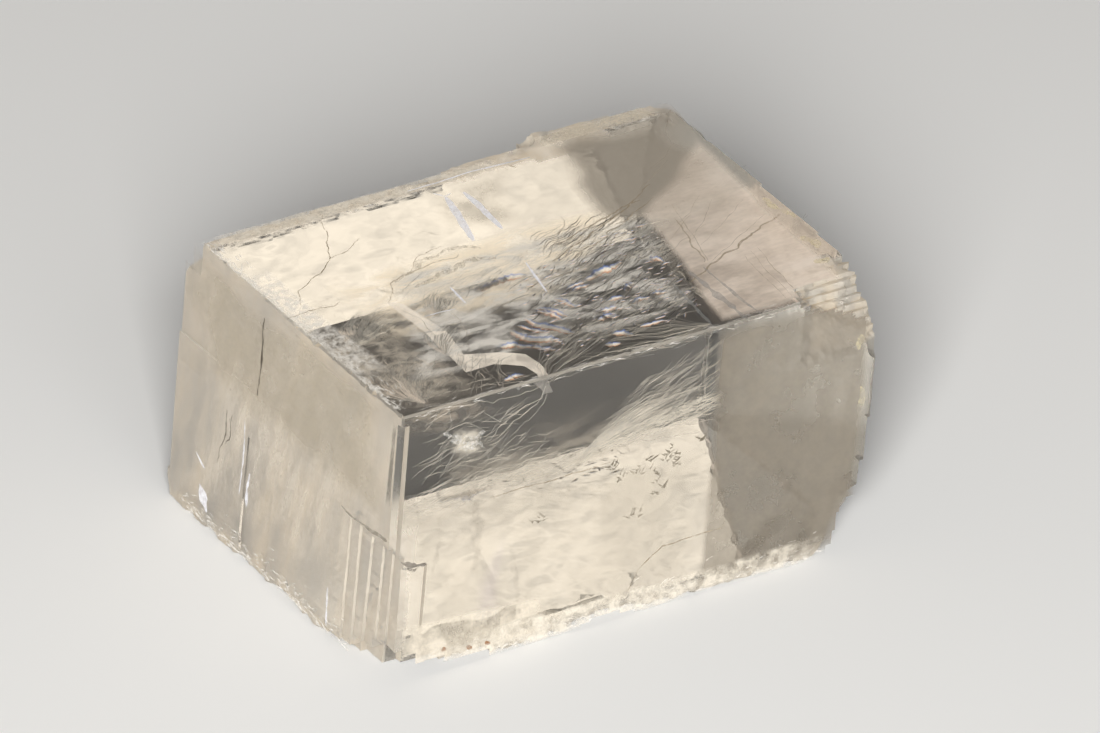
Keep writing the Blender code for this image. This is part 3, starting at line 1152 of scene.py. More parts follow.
@dataclass
class FringedWaves:
    """Bright wavy bands and flakes with orange and blue rims, just under the top face.

    Each band has its width and its places on the face. The flakes are strewn between them.
    """

    name: str = "fringed_wave_bands"
    depth: float = 0.45
    depth_spread: float = 0.15
    bands: tuple[tuple[float, Line], ...] = (
        (0.75, ((25.7, 12.5), (26.1, 10.7), (27.6, 9.1), (29.2, 6.9))),
        (0.95, ((22.6, 10.7), (23.2, 8.5), (24.5, 7.6), (26.1, 7.0), (26.6, 5.4))),
        (0.80, ((19.6, 8.6), (21.1, 7.8), (22.2, 7.0))),
        (0.60, ((28.3, 13.2), (29.2, 12.0), (29.5, 10.2))),
        (0.55, ((23.9, 11.8), (24.8, 10.1), (26.3, 8.5))),
        (0.50, ((21.8, 7.7), (23.5, 6.0), (25.0, 4.7))),
        (0.90, ((37.6, 16.9), (39.9, 17.6), (41.9, 17.9), (43.7, 18.5))),
        (0.45, ((33.8, 15.9), (35.4, 16.5), (37.1, 16.9))),
        (0.70, ((40.4, 12.5), (41.2, 13.2), (42.1, 13.5))),
        (0.55, ((35.1, 9.7), (36.0, 9.7), (37.1, 10.0))),
        (0.50, ((33.7, 8.6), (34.6, 8.6), (35.5, 8.7))),
        (0.75, ((33.2, 4.6), (34.3, 4.3), (35.3, 3.5))),
        (0.60, ((30.9, 2.9), (31.9, 2.6), (32.8, 2.4))),
        (0.45, ((37.3, 4.6), (38.8, 4.6), (40.4, 4.6))),
        (0.50, ((46.5, 16.8), (47.9, 17.2), (48.2, 15.9))),
        (0.80, ((24.2, 20.4), (26.6, 21.3), (28.9, 21.7), (31.5, 20.9))),
        (0.60, ((15.6, 1.7), (17.2, 2.0), (18.5, 1.8))),
        (0.55, ((39.6, 9.6), (40.7, 9.9), (41.8, 9.8))),
        (0.50, ((42.4, 9.9), (43.6, 10.3), (44.7, 10.0))),
        (0.50, ((36.9, 11.2), (38.2, 11.6), (39.4, 11.3))),
        (0.60, ((33.4, 8.2), (34.8, 8.5), (36.2, 8.0))),
        (0.45, ((34.6, 15.2), (35.8, 15.8), (37.2, 15.7))),
        (0.60, ((31.4, 14.8), (32.3, 13.6), (32.6, 12.0))),
        (0.55, ((28.6, 14.0), (29.6, 12.6), (30.4, 10.8))),
    )
    broader: float = 1.6
    uneven: float = 0.25
    flakes: int = 240
    flake_patch: Line = ((22, 4), (46, 4), (54, 26), (30, 22))
    flake_length: Pair = (0.3, 1.6)
    flake_width: Pair = (0.1, 0.36)
    flake_turn: Pair = (14, 16)
    waver: float = 0.3
    waver_mm: float = 1.1
    steps: int = 24
    strength: float = 0.95
    scatter: float = 0.04
    seed: int = 77
    finish: FringedCrack = FringedCrack()

    def build(self) -> list[bpy.types.Object]:
        """Makes the bands and the small flakes between them as wavy ribbons, narrow at both ends.

        Returns:
            The one object that holds them.
        """
        rng = np.random.default_rng(self.seed)
        u, v = rng.uniform(0, 1, (2, self.flakes))
        middles = four_corner_blend(self.flake_patch, u, v)
        lengths = rng.uniform(*self.flake_length, self.flakes)
        way = directions(np.radians(rng.normal(*self.flake_turn, self.flakes))) * lengths[:, None] / 2
        flakes = rng.uniform(*self.flake_width, self.flakes)
        lines = [*(line for _, line in self.bands), *np.stack([middles - way, middles + way], 1)]
        widths = np.concatenate([[width * self.broader for width, _ in self.bands], flakes])
        marks = np.stack([resample(line, self.steps) for line in lines])
        marks = jitter(marks, self.waver, self.waver_mm, self.seed + 1)
        shape = taper(0.04, 0.96, 0.5, self.steps)
        size = (len(lines), self.steps)
        wide = widths[:, None] * shape * (1 + self.uneven * rng.normal(0, 1, size))
        depth = self.depth + rng.uniform(-self.depth_spread, self.depth_spread, (len(lines), 1))
        facing = scattered(TOWARDS_TOP_LIGHT, self.scatter, len(lines), rng)
        fade = np.broadcast_to((shape * self.strength)[None, :, None], (*size, 2))
        wide = np.clip(wide, 0.08, 3)
        return ribbons(self.name, marks, depth, wide, Face.TOP, self.finish, facing, fade)


# Marks on the outside


@dataclass
class DrawnLines:
    """Single lines of a given width: cracks that reach a face, strands just inside it, stains and bruises on
    it, and painted glints and painted shade.
    """

    name: str
    face: Face
    lines: tuple[tuple[float, Line], ...]
    finish: MattMark | AirFilledCrack = MattMark("iron_stained_crack_lip")
    roughness: float = 0.35
    waver_mm: Pair = (1.6, 0.45)
    fine_roughness: float = 0.35
    uneven: float = 0.7
    uneven_mm: float = 0.8
    width_limits: Pair = (0.03, 2.0)
    steps: int = 60
    depth: float = -0.06
    slope: float = 0.0
    facing: Triple | None = None
    seed: int = 51

    def build(self) -> list[bpy.types.Object]:
        """Makes each line as a flat ribbon that lies on or under the face: width * taper * noise.

        Returns:
            The one object that holds them.
        """
        marks = np.stack([resample(line, self.steps) for _, line in self.lines])
        marks = jitter(marks, self.roughness, self.waver_mm[0], self.seed)
        marks = jitter(marks, self.roughness * self.fine_roughness, self.waver_mm[1], self.seed + 9)
        noise = self.uneven * lattice_noise(marks, self.uneven_mm, self.seed + 3)
        widths = np.array([width for width, _ in self.lines])[:, None]
        widths = np.clip(widths * taper(0.03, 0.97, 0.4, self.steps) * (1 + noise), *self.width_limits)
        depth = self.depth - self.slope * (marks[..., 1] - marks[..., 1].mean())
        return ribbons(self.name, marks, depth, widths, self.face, self.finish, self.facing)


@dataclass
class EdgeSplinters:
    """White splinters and crumbs that stand along a worn edge."""

    name: str
    face: Face
    line: Line
    inward: Pair
    count: int
    reach: float = 0.6
    length: Pair = (0.3, 1.8)
    width: Pair = (0.05, 0.22)
    turn: float = 0.3
    steps: int = 6
    waver: float = 0.1
    waver_mm: float = 0.6
    proud: float = 0.03
    seed: int = 91
    finish: MattMark = MattMark("splintered_edge", ("E9E2D6", "FFFDF8"), (0.25, 0.9), 0.7)

    def build(self) -> list[bpy.types.Object]:
        """Makes each splinter as a leaf: middle + length * direction, wide in its middle.

        Returns:
            The one object that holds them.
        """
        rng = np.random.default_rng(self.seed)
        line = resample(self.line, 600)
        pick = rng.integers(1, len(line) - 1, self.count)
        inward = np.array(self.inward) / np.linalg.norm(self.inward)
        middles = line[pick] + inward * rng.exponential(self.reach, self.count)[:, None]
        way = line[pick + 1] - line[pick - 1]
        turn = np.arctan2(way[:, 1], way[:, 0]) + rng.normal(0, self.turn, self.count)
        reach = np.linspace(-0.5, 0.5, self.steps)[None, :, None]
        length = rng.uniform(*self.length, (self.count, 1, 1))
        marks = middles[:, None, :] + reach * length * directions(turn)[:, None, :]
        marks = jitter(marks, self.waver, self.waver_mm, self.seed)
        widths = rng.uniform(*self.width, (self.count, 1)) * taper(0.08, 0.92, 1, self.steps)
        return ribbons(self.name, marks, -self.proud, widths, self.face, self.finish)


@dataclass
class EtchMarks:
    """Groups of small etched feathers on the front face, each stroke a narrow wedge."""

    name: str = "etched_feather_marks"
    places: Line = (
        (31.6, 22.0), (33.1, 20.2), (35.7, 20.5), (37.1, 21.3), (39.0, 16.8), (38.1, 18.7),
        (40.4, 20.9), (41.3, 20.1), (39.7, 22.0), (35.6, 14.2), (21.4, 17.5), (44.3, 22.4),
    )
    strokes: int = 7
    steps: int = 5
    spread: float = 0.45
    ways: Triple = (18.0, 62.0, 150.0)
    ways_spread: float = 9.0
    length: Pair = (0.5, 1.4)
    width: Pair = (0.18, 0.42)
    tip: float = 0.08
    proud: float = 0.02
    seed: int = 19
    finish: MattMark = MattMark("etched_feather", ("544D42", "857C6C"), (0.6, 1.0), 0.5)

    def build(self) -> list[bpy.types.Object]:
        """Makes each stroke from a wide foot to a sharp tip: place = foot + reach * way.

        Returns:
            The one object that holds them.
        """
        rng = np.random.default_rng(self.seed)
        feet = np.repeat(np.array(self.places), self.strokes, axis=0)
        feet = feet + rng.normal(0, self.spread, feet.shape)
        turn = np.radians(rng.choice(self.ways, len(feet)) + rng.normal(0, self.ways_spread, len(feet)))
        length = rng.uniform(*self.length, len(feet))
        reach = np.linspace(0, 1, self.steps)[None, :, None]
        marks = feet[:, None, :] + reach * (directions(turn) * length[:, None])[:, None, :]
        widths = rng.uniform(*self.width, (len(feet), 1)) * (1 - (1 - self.tip) * reach[..., 0])
        return ribbons(self.name, marks, -self.proud, widths, Face.FRONT, self.finish)


# The studio


@dataclass(frozen=True)
class SkyPatch:
    """A soft round patch of light in the studio's walls, from its inner to its outer angle."""

    towards: Triple
    inner: float
    outer: float
    colour: str
    strength: float


@dataclass(frozen=True)
class Softbox:
    """A square softbox: where it hangs and its side in metres, its watts and its colour."""

    name: str
    place: Triple
    size: float
    power: float
    colour: str

    def hang(self) -> None:
        """Hangs it so that it lights matt surfaces and isn't itself seen in the crystal."""
        light = bpy.data.lights.new(self.name, "AREA")
        light.size = self.size
        light.energy = self.power
        light.color = linear(self.colour)[:3]
        lamp = new_object(self.name, light)
        lamp.location = self.place
        lamp.rotation_euler = (-Vector(self.place)).to_track_quat("-Z", "Y").to_euler()
        lamp.visible_transmission = False
        lamp.visible_glossy = False


@dataclass
class Studio:
    """Pale floor, soft walls, two softboxes and the camera."""

    floor_size: float = 6.0
    floor_gap: float = 0.1
    wall: str = "C6C4C0"
    wall_strength: float = 0.62
    mottle_scale: float = 30.0
    mottle_limits: Pair = (0.3, 0.6)
    mottle_share: Pair = (0.6, 1.0)
    on_matt: float = 0.1
    azimuth: float = -24.54
    elevation: float = 38.79
    roll: float = -0.12
    distance: float = 1.33895
    shift: Pair = (3.77, 2.77)
    focal: float = 10000.0
    width: int = 1100
    sensor: float = 36.0
    farthest: float = 10.0
    bounces: int = 16
    clear_bounces: int = 24
    patches: tuple[SkyPatch, ...] = (
        SkyPatch((0.32, -0.72, 0.60), 16, 38, "F8F0E4", 1.25),
        SkyPatch((-0.27, 0.58, 0.77), 18, 44, "E8D9CC", 1.15),
        SkyPatch((-0.95, 0.05, 0.20), 20, 50, "DCD2C4", 0.8),
    )
    softboxes: tuple[Softbox, ...] = (
        Softbox("key_softbox", (-0.48, -0.88, 0.72), 0.6, 18.0, "FFFEFC"),
        Softbox("fill_softbox", (0.12, -1.05, 0.75), 0.7, 2.0, "FBFCFF"),
    )

    def sky(self) -> None:
        """Lights the room from its walls: an even warm grey with soft brighter patches."""
        world = bpy.data.worlds.new("studio_walls")
        world.use_nodes = True
        tree = world.node_tree
        towards = add(tree, "TexCoord", out="Generated")
        colour = add(tree, "CombineColor", tuple(part * self.wall_strength for part in linear(self.wall)[:3]))
        look = {"Vector": towards, "Scale": self.mottle_scale, "Detail": 3.0, "Roughness": 0.6}
        mottle = add(tree, "TexNoise", look)
        mottled = add(tree, "MapRange", (mottle, *self.mottle_limits, *self.mottle_share))
        for patch in self.patches:
            aim = Vector(patch.towards).normalized()
            facing = add(tree, "VectorMath", (towards, aim), "Value", operation="DOT_PRODUCT")
            rim, heart = (math.cos(math.radians(angle)) for angle in (patch.outer, patch.inner))
            share = add(
                tree, "MapRange", (facing, rim, heart, 0.0, mottled), interpolation_type="SMOOTHSTEP"
            )
            glow = (*(part * patch.strength for part in linear(patch.colour)[:3]), 1.0)
            colour = add(tree, "Mix", {0: share, 6: colour, 7: glow}, 2, data_type="RGBA")
        bounced = add(tree, "LightPath", out="Is Diffuse Ray")
        strength = add(tree, "MapRange", (bounced, 0.0, 1.0, 1.0, self.on_matt))
        fill(tree.nodes["Background"], {"Color": colour, "Strength": strength})
        bpy.context.scene.world = world

    def floor(self) -> None:
        """Lays the floor: a flat square of four corners, a hair below the crystal."""
        half = self.floor_size / 2
        square = ((-half, -half), (half, -half), (half, half), (-half, half))
        mesh = bpy.data.meshes.new("studio_floor")
        mesh.from_pydata([(x, y, -self.floor_gap * MM) for x, y in square], [], [(0, 1, 2, 3)])
        mesh.materials.append(StudioPaper().make())
        new_object("studio_floor", mesh)

    def camera(self) -> None:
        """Sets the camera at the viewing angle, with a long lens for an image 1100 pixels wide."""
        turn, tilt, roll = (math.radians(angle) for angle in (self.azimuth, self.elevation, self.roll))
        away = math.cos(tilt)
        back = Vector((math.sin(turn) * away, -math.cos(turn) * away, math.sin(tilt)))
        level = (-back).cross(Vector((0, 0, 1))).normalized()
        upright = level.cross(-back)
        right = level * math.cos(roll) + upright * math.sin(roll)
        up = upright * math.cos(roll) - level * math.sin(roll)
        middle = Vector(AXES.place(np.array(AXES.lengths) / 2))
        data = bpy.data.cameras.new("camera")
        data.sensor_width = self.sensor
        data.lens = self.sensor * self.focal / self.width
        data.clip_end = self.farthest
        camera = new_object("camera", data)
        place = Matrix((right, up, back)).transposed().to_4x4()
        aside = (right * self.shift[0] + up * self.shift[1]) * MM
        place.translation = middle + aside + back * self.distance
        camera.matrix_world = place
        bpy.context.scene.camera = camera

    def build(self) -> None:
        """Sets up the whole studio."""
        self.sky()
        self.floor()
        for softbox in self.softboxes:
            softbox.hang()
        self.camera()
        scene = bpy.context.scene
        scene.view_settings.view_transform = "Standard"
        scene.cycles.caustics_refractive = False
        scene.cycles.caustics_reflective = False
        scene.cycles.max_bounces = self.bounces
        scene.cycles.transmission_bounces = self.bounces
        scene.cycles.transparent_max_bounces = self.clear_bounces


# What this crystal holds

FEATHERS = (
    FeatherCracks("feathers_under_top", Face.TOP, TOWARDS_TOP_LIGHT, (
        Fan((3.7, 16.2), ((5.7, 21.8), (8.4, 23.6), (12.0, 22.6), (12.6, 18.6)), 260, start=0.12),
        Fan((16.5, 18.0), ((17.5, 22.5), (21.0, 23.4), (23.5, 21.5)), 90),
        Fan((12.5, 10.0), ((15.0, 16.0), (20.0, 16.5), (23.0, 13.0)), 50, bend=0.25),
        Fan((4.0, 2.0), ((2.5, 11.0), (8.0, 12.0), (13.0, 6.0)), 90, bend=0.3),
        Fan((45.1, 0.8), ((38.0, 9.0), (30.0, 6.0), (24.0, 2.2)), 24, bend=0.1),
        Fan((19.4, -1.0), ((26.0, 6.5), (36.0, 7.5), (46.0, 6.0)), 26, bend=0.16),
        Sweep(((24, 3), (46, 4), (50, 20), (28, 18)), (1.0, 0.45), (2, 9), 220),
        Sweep(((14, 20), (36, 20), (50, 26), (18, 27)), (1.0, 0.25), (2, 8), 140),
        Sweep(((36, 18), (50, 16), (56, 26), (40, 28)), (1.0, 0.5), (2, 8), 170),
        Sweep(((3, 2), (18, 0), (18, 8), (4, 12)), (1.0, 0.9), (2, 6), 110, 0.5),
        Sweep(((50, 6), (66, 6), (70, 22), (56, 26)), (1.0, 0.6), (4, 14), 30, 0.08, 0.03),
    )),
    FeatherCracks("feathers_behind_front", Face.FRONT, TOWARDS_FRONT_LIGHT, (
        Fan((27.0, 25.0), ((36.0, 28.0), (43.0, 30.6), (46.5, 29.6), (46.5, 26.8)), 90, bend=0.1),
        Sweep(((29, 25.0), (46, 25.6), (46.5, 28.6), (34, 27.4)), (1.0, 0.2), (1, 5), 300, 0.2, 0.06),
        Sweep(((5, 26), (20, 25), (24, 30), (6, 33)), (1.0, 0.3), (1, 4), 110, 0.3, 0.04),
        Sweep(((3, 29), (16, 27), (17, 35), (4, 37)), (1.0, 0.4), (1, 5), 110, 0.5, 0.05),
        Sweep(((28, 26), (46, 28), (46, 36), (34, 33)), (1.0, 0.5), (1, 5), 220, 0.16, 0.04),
        Sweep(((2, 23), (30, 24), (30, 26.5), (2, 27)), (1.0, 0.1), (1, 5), 180, 0.2, 0.05),
    ), slope=-0.02, waver=0.28, seed=17),
    FeatherCracks("shaded_hairs_under_top", Face.TOP, (0.0, 0.0, 1.0), (
        Sweep(((24, 4), (46, 5), (52, 22), (28, 20)), (1.0, 0.45), (2, 8), 150, 0.1, 0.085),
        Sweep(((36, 19), (50, 17), (54, 29), (38, 29)), (1.0, 0.4), (2, 8), 120, 0.12, 0.085),
        Sweep(((54, 4), (67, 6), (68, 30), (56, 26)), (1.0, 0.6), (4, 12), 16, 0.05, 0.035),
    ), 1.2, 0.05, unevenness=0.0, seed=13, finish=AirFilledCrack("shaded_crack_hair", "5C5850", 0.5)),
)

BRIGHT_STRAND = AirFilledCrack("bright_crack_strand", roughness=0.3)

STRANDS = (
    DrawnLines("strands_under_top", Face.TOP, (
        (0.09, ((23.3, 2.7), (26.0, 3.9), (28.4, 5.0), (31.5, 4.7))),
        (0.09, ((27.1, 1.5), (29.3, 1.4), (31.8, 0.9), (35.0, 1.1), (38.4, 0.3))),
        (0.12, ((23.1, -0.1), (26.1, -0.1), (29.2, 0.1), (33.0, 0.0), (37.2, -0.1), (42.4, -0.4))),
        (0.07, ((24.8, 4.3), (30.2, 7.2), (35.8, 9.1), (40.6, 9.8))),
        (0.07, ((4.0, 2.6), (8.3, 2.4), (14.8, 1.4), (21.0, 1.0))),
        (0.08, ((18.9, 21.1), (18.4, 15.5), (15.7, 9.5))),
        (0.07, ((13.7, 21.1), (14.4, 18.7), (13.9, 14.7), (12.3, 11.8))),
    ), BRIGHT_STRAND, 0.3, depth=0.8, slope=0.05, facing=TOWARDS_TOP_LIGHT, seed=81),
    DrawnLines("strands_behind_front", Face.FRONT, (
        (0.08, ((20.5, 36.9), (19.9, 35.2), (17.1, 34.3), (14.3, 33.1), (12.7, 31.0))),
        (0.08, ((20.5, 36.7), (19.4, 34.5), (16.5, 33.1), (14.2, 31.2))),
        (0.07, ((20.5, 36.7), (20.5, 34.2), (18.6, 32.7), (16.2, 30.9))),
        (0.07, ((20.4, 37.0), (16.9, 36.3), (12.5, 36.7), (6.7, 37.5), (3.8, 37.8))),
        (0.08, ((31.2, 24.9), (35.3, 24.9), (39.5, 24.3), (44.2, 23.8))),
        (0.08, ((32.6, 25.7), (36.6, 26.7), (40.9, 27.3), (46.2, 26.9))),
        (0.06, ((35.2, 26.4), (41.1, 25.4), (45.8, 24.8))),
    ), BRIGHT_STRAND, 0.42, depth=0.8, slope=-0.05, facing=TOWARDS_FRONT_LIGHT, seed=83),
)

VEILS = (
    CloudVeil(
        "cloud_under_top", Face.TOP, ((3.0, 5.0), (46.0, 4.0), (54.0, 28.0), (17.0, 30.0)),
        AirFilledCrack("cloudy_healed_crack", "DCDEE1", 0.18, (0.05, 0.95), (5.5, 2.2), (0.38, 0.62)),
        depth=3.0, slope=0.41, ruffle=0.09, bands=4, fade_in=5.0,
    ),
    CloudVeil(
        "cloud_over_window_edge", Face.TOP, ((6.0, 13.0), (38.0, 14.0), (54.0, 32.0), (8.0, 33.0)),
        AirFilledCrack("cream_healed_crack", "FBF4E8", 0.16, (0.0, 1.0), (8.0, 4.0), (0.34, 0.56)),
        depth=3.4, slope=0.41, ruffle=0.09, bands=2, fade_in=3.5, lean=0.45, seed=22,
    ),
    CloudVeil(
        "cloud_at_left_corner", Face.TOP, ((-2.0, 0.0), (15.0, 0.0), (9.0, 20.0), (-4.0, 26.0)),
        AirFilledCrack("milky_corner_crack", "F2EBE0", 0.28, (0.2, 1.0), (3.0, 2.0), (0.36, 0.62)),
        depth=3.4, slope=0.2, ruffle=0.15, seed=23,
    ),
    CloudVeil(
        "cloud_behind_front", Face.FRONT, ((2.0, 22.6), (47.0, 23.4), (47.0, 33.0), (3.0, 33.0)),
        AirFilledCrack("dusty_healed_crack", "CFCAC2", 0.2, (0.1, 0.75), (9.0, 3.0), (0.34, 0.66)),
        depth=2.0, slope=-0.25, ruffle=0.09, fade_in=3.0, lean=-0.85, seed=27,
    ),
    # Partly milky haze and partly painted reflection: a pale rosy matt film that stands in for the rosy light
    # the top's right part throws back.
    CloudVeil(
        "haze_and_painted_reflection_on_top_right", Face.TOP, ((46.0, 0.2), (66.0, 0.2), (68.8, 40.0), (52.0, 27.0)),
        MattMark("rosy_haze_and_painted_reflection", ("DFCCB9", "FFF2E4"), (0.5, 0.9), 3.5, drawn_out=(2.2, 1.0, 1.0)),
        fade_in=7.0, lean=-0.55, seed=31,
    ),
    # Partly haze and partly painted shade: a grey matt film that stands in for the shaded right end seen
    # through the front.
    CloudVeil(
        "haze_and_painted_shade_on_front_right", Face.FRONT, ((45.6, 0.2), (68.8, 0.2), (68.8, 37.8), (45.6, 37.8)),
        MattMark("grey_haze_and_painted_shade", ("756D61", "8F8678"), (0.55, 0.78), 7.0), fade_in=9.0, seed=33,
    ),
    # Partly haze and partly painted shade: a grey matt film over the top's back right, standing in for the
    # grey inner reflection of the back and right faces.
    CloudVeil(
        "haze_and_painted_shade_on_top_back", Face.TOP, ((46.0, 26.0), (66.0, 22.0), (70.6, 49.0), (50.0, 48.6)),
        MattMark("grey_haze_and_painted_shade_film", ("8E867A", "A79E91"), (0.86, 0.97), 14.0), depth=-0.02, seed=29,
    ),
    # Painted shade: grey smudges in the bright reflected light of the top's middle.
    CloudVeil(
        "painted_shade_on_top_middle", Face.TOP, ((28.0, 34.0), (38.0, 30.0), (44.0, 44.0), (30.0, 45.5)),
        MattMark("faint_painted_shade", ("A0988A", "BEB5A5"), (0.1, 0.6), 5.0), seed=30,
    ),
    CloudVeil(
        "crumbs_on_front_lower_edge", Face.FRONT, ((1.0, -0.2), (67.0, -0.2), (67.0, 3.2), (1.0, 4.6)),
        MattMark("crumbled_edge", ("C9BEA9", "F6EFE2"), (0.0, 0.8), 1.8, 0.75), depth=-0.04, seed=35,
    ),
    # Painted shade: a greyish matt film that dims the bright light thrown back in the front's left part.
    CloudVeil(
        "painted_shade_on_front", Face.FRONT, ((1.0, 2.0), (45.6, 2.0), (45.6, 21.0), (1.0, 24.0)),
        MattMark("painted_front_shade", ("A59C8C", "C3B9A8"), (0.05, 0.42), 9.0, drawn_out=(1, 1, 2)),
        depth=-0.02, fade_in=6.0, seed=47,
    ),
    CloudVeil(
        "lilac_facet_on_front", Face.FRONT, ((12.8, 4.7), (16.8, 3.5), (16.6, 17.8), (12.6, 11.0)),
        MattMark("lilac_facet_bloom", ("A59A9C", "B9AFB0"), (0.5, 0.68), 6.0, drawn_out=(1, 1, 3)),
        fade_in=0.8, seed=51,
    ),
    CloudVeil(
        "bloom_on_front_lower_left", Face.FRONT, ((0.4, 1.0), (26.0, 1.0), (24.0, 6.2), (0.4, 8.6)),
        MattMark("chalky_bloom", ("D2C6B2", "EFE6D6"), (0.3, 0.8), 3.0), fade_in=3.5, seed=36,
    ),
    CloudVeil(
        "crumbs_on_back_rim_left", Face.TOP, ((-0.4, 43.8), (48.0, 44.0), (48.0, 46.7), (-0.4, 46.7)),
        MattMark("crumbled_back_rim", ("CBBFA9", "F6EFE2"), (0.1, 0.85), 1.6, 0.75), fade_in=3.0, seed=38,
    ),
    CloudVeil(
        "crumbs_on_back_rim_right", Face.TOP, ((49.0, 46.2), (68.0, 46.0), (66.5, 48.7), (49.5, 48.6)),
        MattMark("crumbled_back_corner", ("A99D88", "E4DAC8"), (0.2, 0.95), 1.2, 0.75),
        fade_in=3.0, seed=39,
    ),
    # Partly milky haze and partly painted sheen: pale vertical streaks on the left face that stand in for its
    # reflections.
    CloudVeil(
        "streaks_on_left", Face.LEFT, ((47.0, 3.0), (1.5, 3.0), (1.5, 36.5), (47.0, 35.5)),
        MattMark("milky_streaks_and_painted_sheen", ("CDBFA8", "F4EADB"), (0.0, 0.36), 2.2, 0.75, (1, 1, 6)),
        fade_in=2.0, seed=42,
    ),
    CloudVeil(
        "shade_on_left_near_top", Face.LEFT, ((49.0, 20.0), (1.0, 22.0), (1.0, 37.6), (49.0, 37.6)),
        MattMark("grey_milky_shade", ("9A9182", "B0A694"), (0.45, 0.8), 5.0, 0.75),
        depth=-0.04, fade_in=2.4, seed=43,
    ),
    # Painted shade: a dark matt film that stands in for the dark look through clear crystal near the front
    # edge.
    CloudVeil(
        "dark_band_on_left_near_front", Face.LEFT, ((2.4, 23.6), (0.9, 23.6), (0.7, 36.9), (1.9, 36.9)),
        MattMark("painted_shade_band", ("5E5B55", "7F7A70"), (0.4, 0.8), 1.2, drawn_out=(1, 1, 5)),
        depth=-0.05, fade_in=3.0, seed=44,
    ),
    CloudVeil(
        "bright_cloud_in_front_corner", Face.FRONT, ((6.6, 30.6), (12.2, 29.4), (11.6, 33.4), (7.2, 34.6)),
        AirFilledCrack("bright_healed_crack", "FFFDF8", 0.26, (0.15, 1.0), (2.2, 1.4), (0.36, 0.62)),
        depth=1.0, slope=-0.25, ruffle=0.09, fade_in=1.1, seed=45,
    ),
    CloudVeil(
        "crumbs_on_left_top_edge", Face.TOP, ((0.0, 8.0), (5.0, 8.0), (4.0, 38.0), (0.0, 38.0)),
        MattMark("crumbled_edge_fine", ("CFC6B8", "FBF8F2"), (0.0, 0.8), 0.9, 0.75), seed=37,
    ),
)

SURFACE_CRACKS = (
    DrawnLines("hairline_cracks_on_top", Face.TOP, (
        (0.16, ((16.9, 44.9), (15.2, 41.2), (12.3, 35.8), (8.8, 33.0), (4.4, 30.7), (3.3, 27.9))),
        (0.12, ((12.3, 35.8), (15.0, 36.2), (18.0, 38.0))),
        (0.14, ((-0.4, 26.0), (3.3, 26.3), (8.2, 25.9))),
        (0.14, ((13.0, 23.6), (15.6, 26.8), (19.2, 28.4), (23.8, 28.7), (27.1, 28.8))),
        (0.10, ((19.2, 28.4), (22.0, 31.0), (26.0, 31.5))),
        (0.22, ((39.1, 25.3), (44.1, 27.3), (46.5, 27.6), (50.6, 29.3), (53.8, 29.8))),
        (0.26, ((36.1, 22.3), (45.4, 26.0), (57.0, 32.2))),
        (0.16, ((38.6, 21.9), (47.2, 25.2), (55.6, 29.4))),
        (0.30, ((48.4, 10.5), (57.8, 14.7), (63.2, 17.2), (67.2, 18.7))),
        (0.20, ((55.0, 23.7), (53.6, 18.2), (52.5, 13.4))),
    ), uneven=0.35),
    DrawnLines("hairline_cracks_on_front", Face.FRONT, (
        (0.14, ((35.5, 3.5), (37.0, 6.2), (40.0, 8.5), (44.1, 8.6), (48.9, 8.5), (49.1, 9.6))),
        (0.13, ((13.7, 23.0), (22.4, 22.9), (31.1, 23.0))),
    ), roughness=0.12),
    DrawnLines("hairline_cracks_on_left", Face.LEFT, (
        (0.32, ((31.0, 35.4), (30.9, 29.5), (31.2, 24.4))),
        (0.16, ((37.5, 18.9), (37.5, 15.3), (38.9, 10.9))),
        (0.12, ((36.3, 18.8), (36.6, 15.1), (37.4, 14.0))),
    ), MattMark("shadowed_crack_lip", ("2E2922", "5C5346"), (0.85, 1.0)), 0.25),
)

# White matt streaks: bruises on the top face, and painted glints on the left face.
WHITE_STREAK = MattMark("bruise_and_painted_glint", ("DDDDEA", "FFFFFF"), (0.55, 1.0), 0.9)

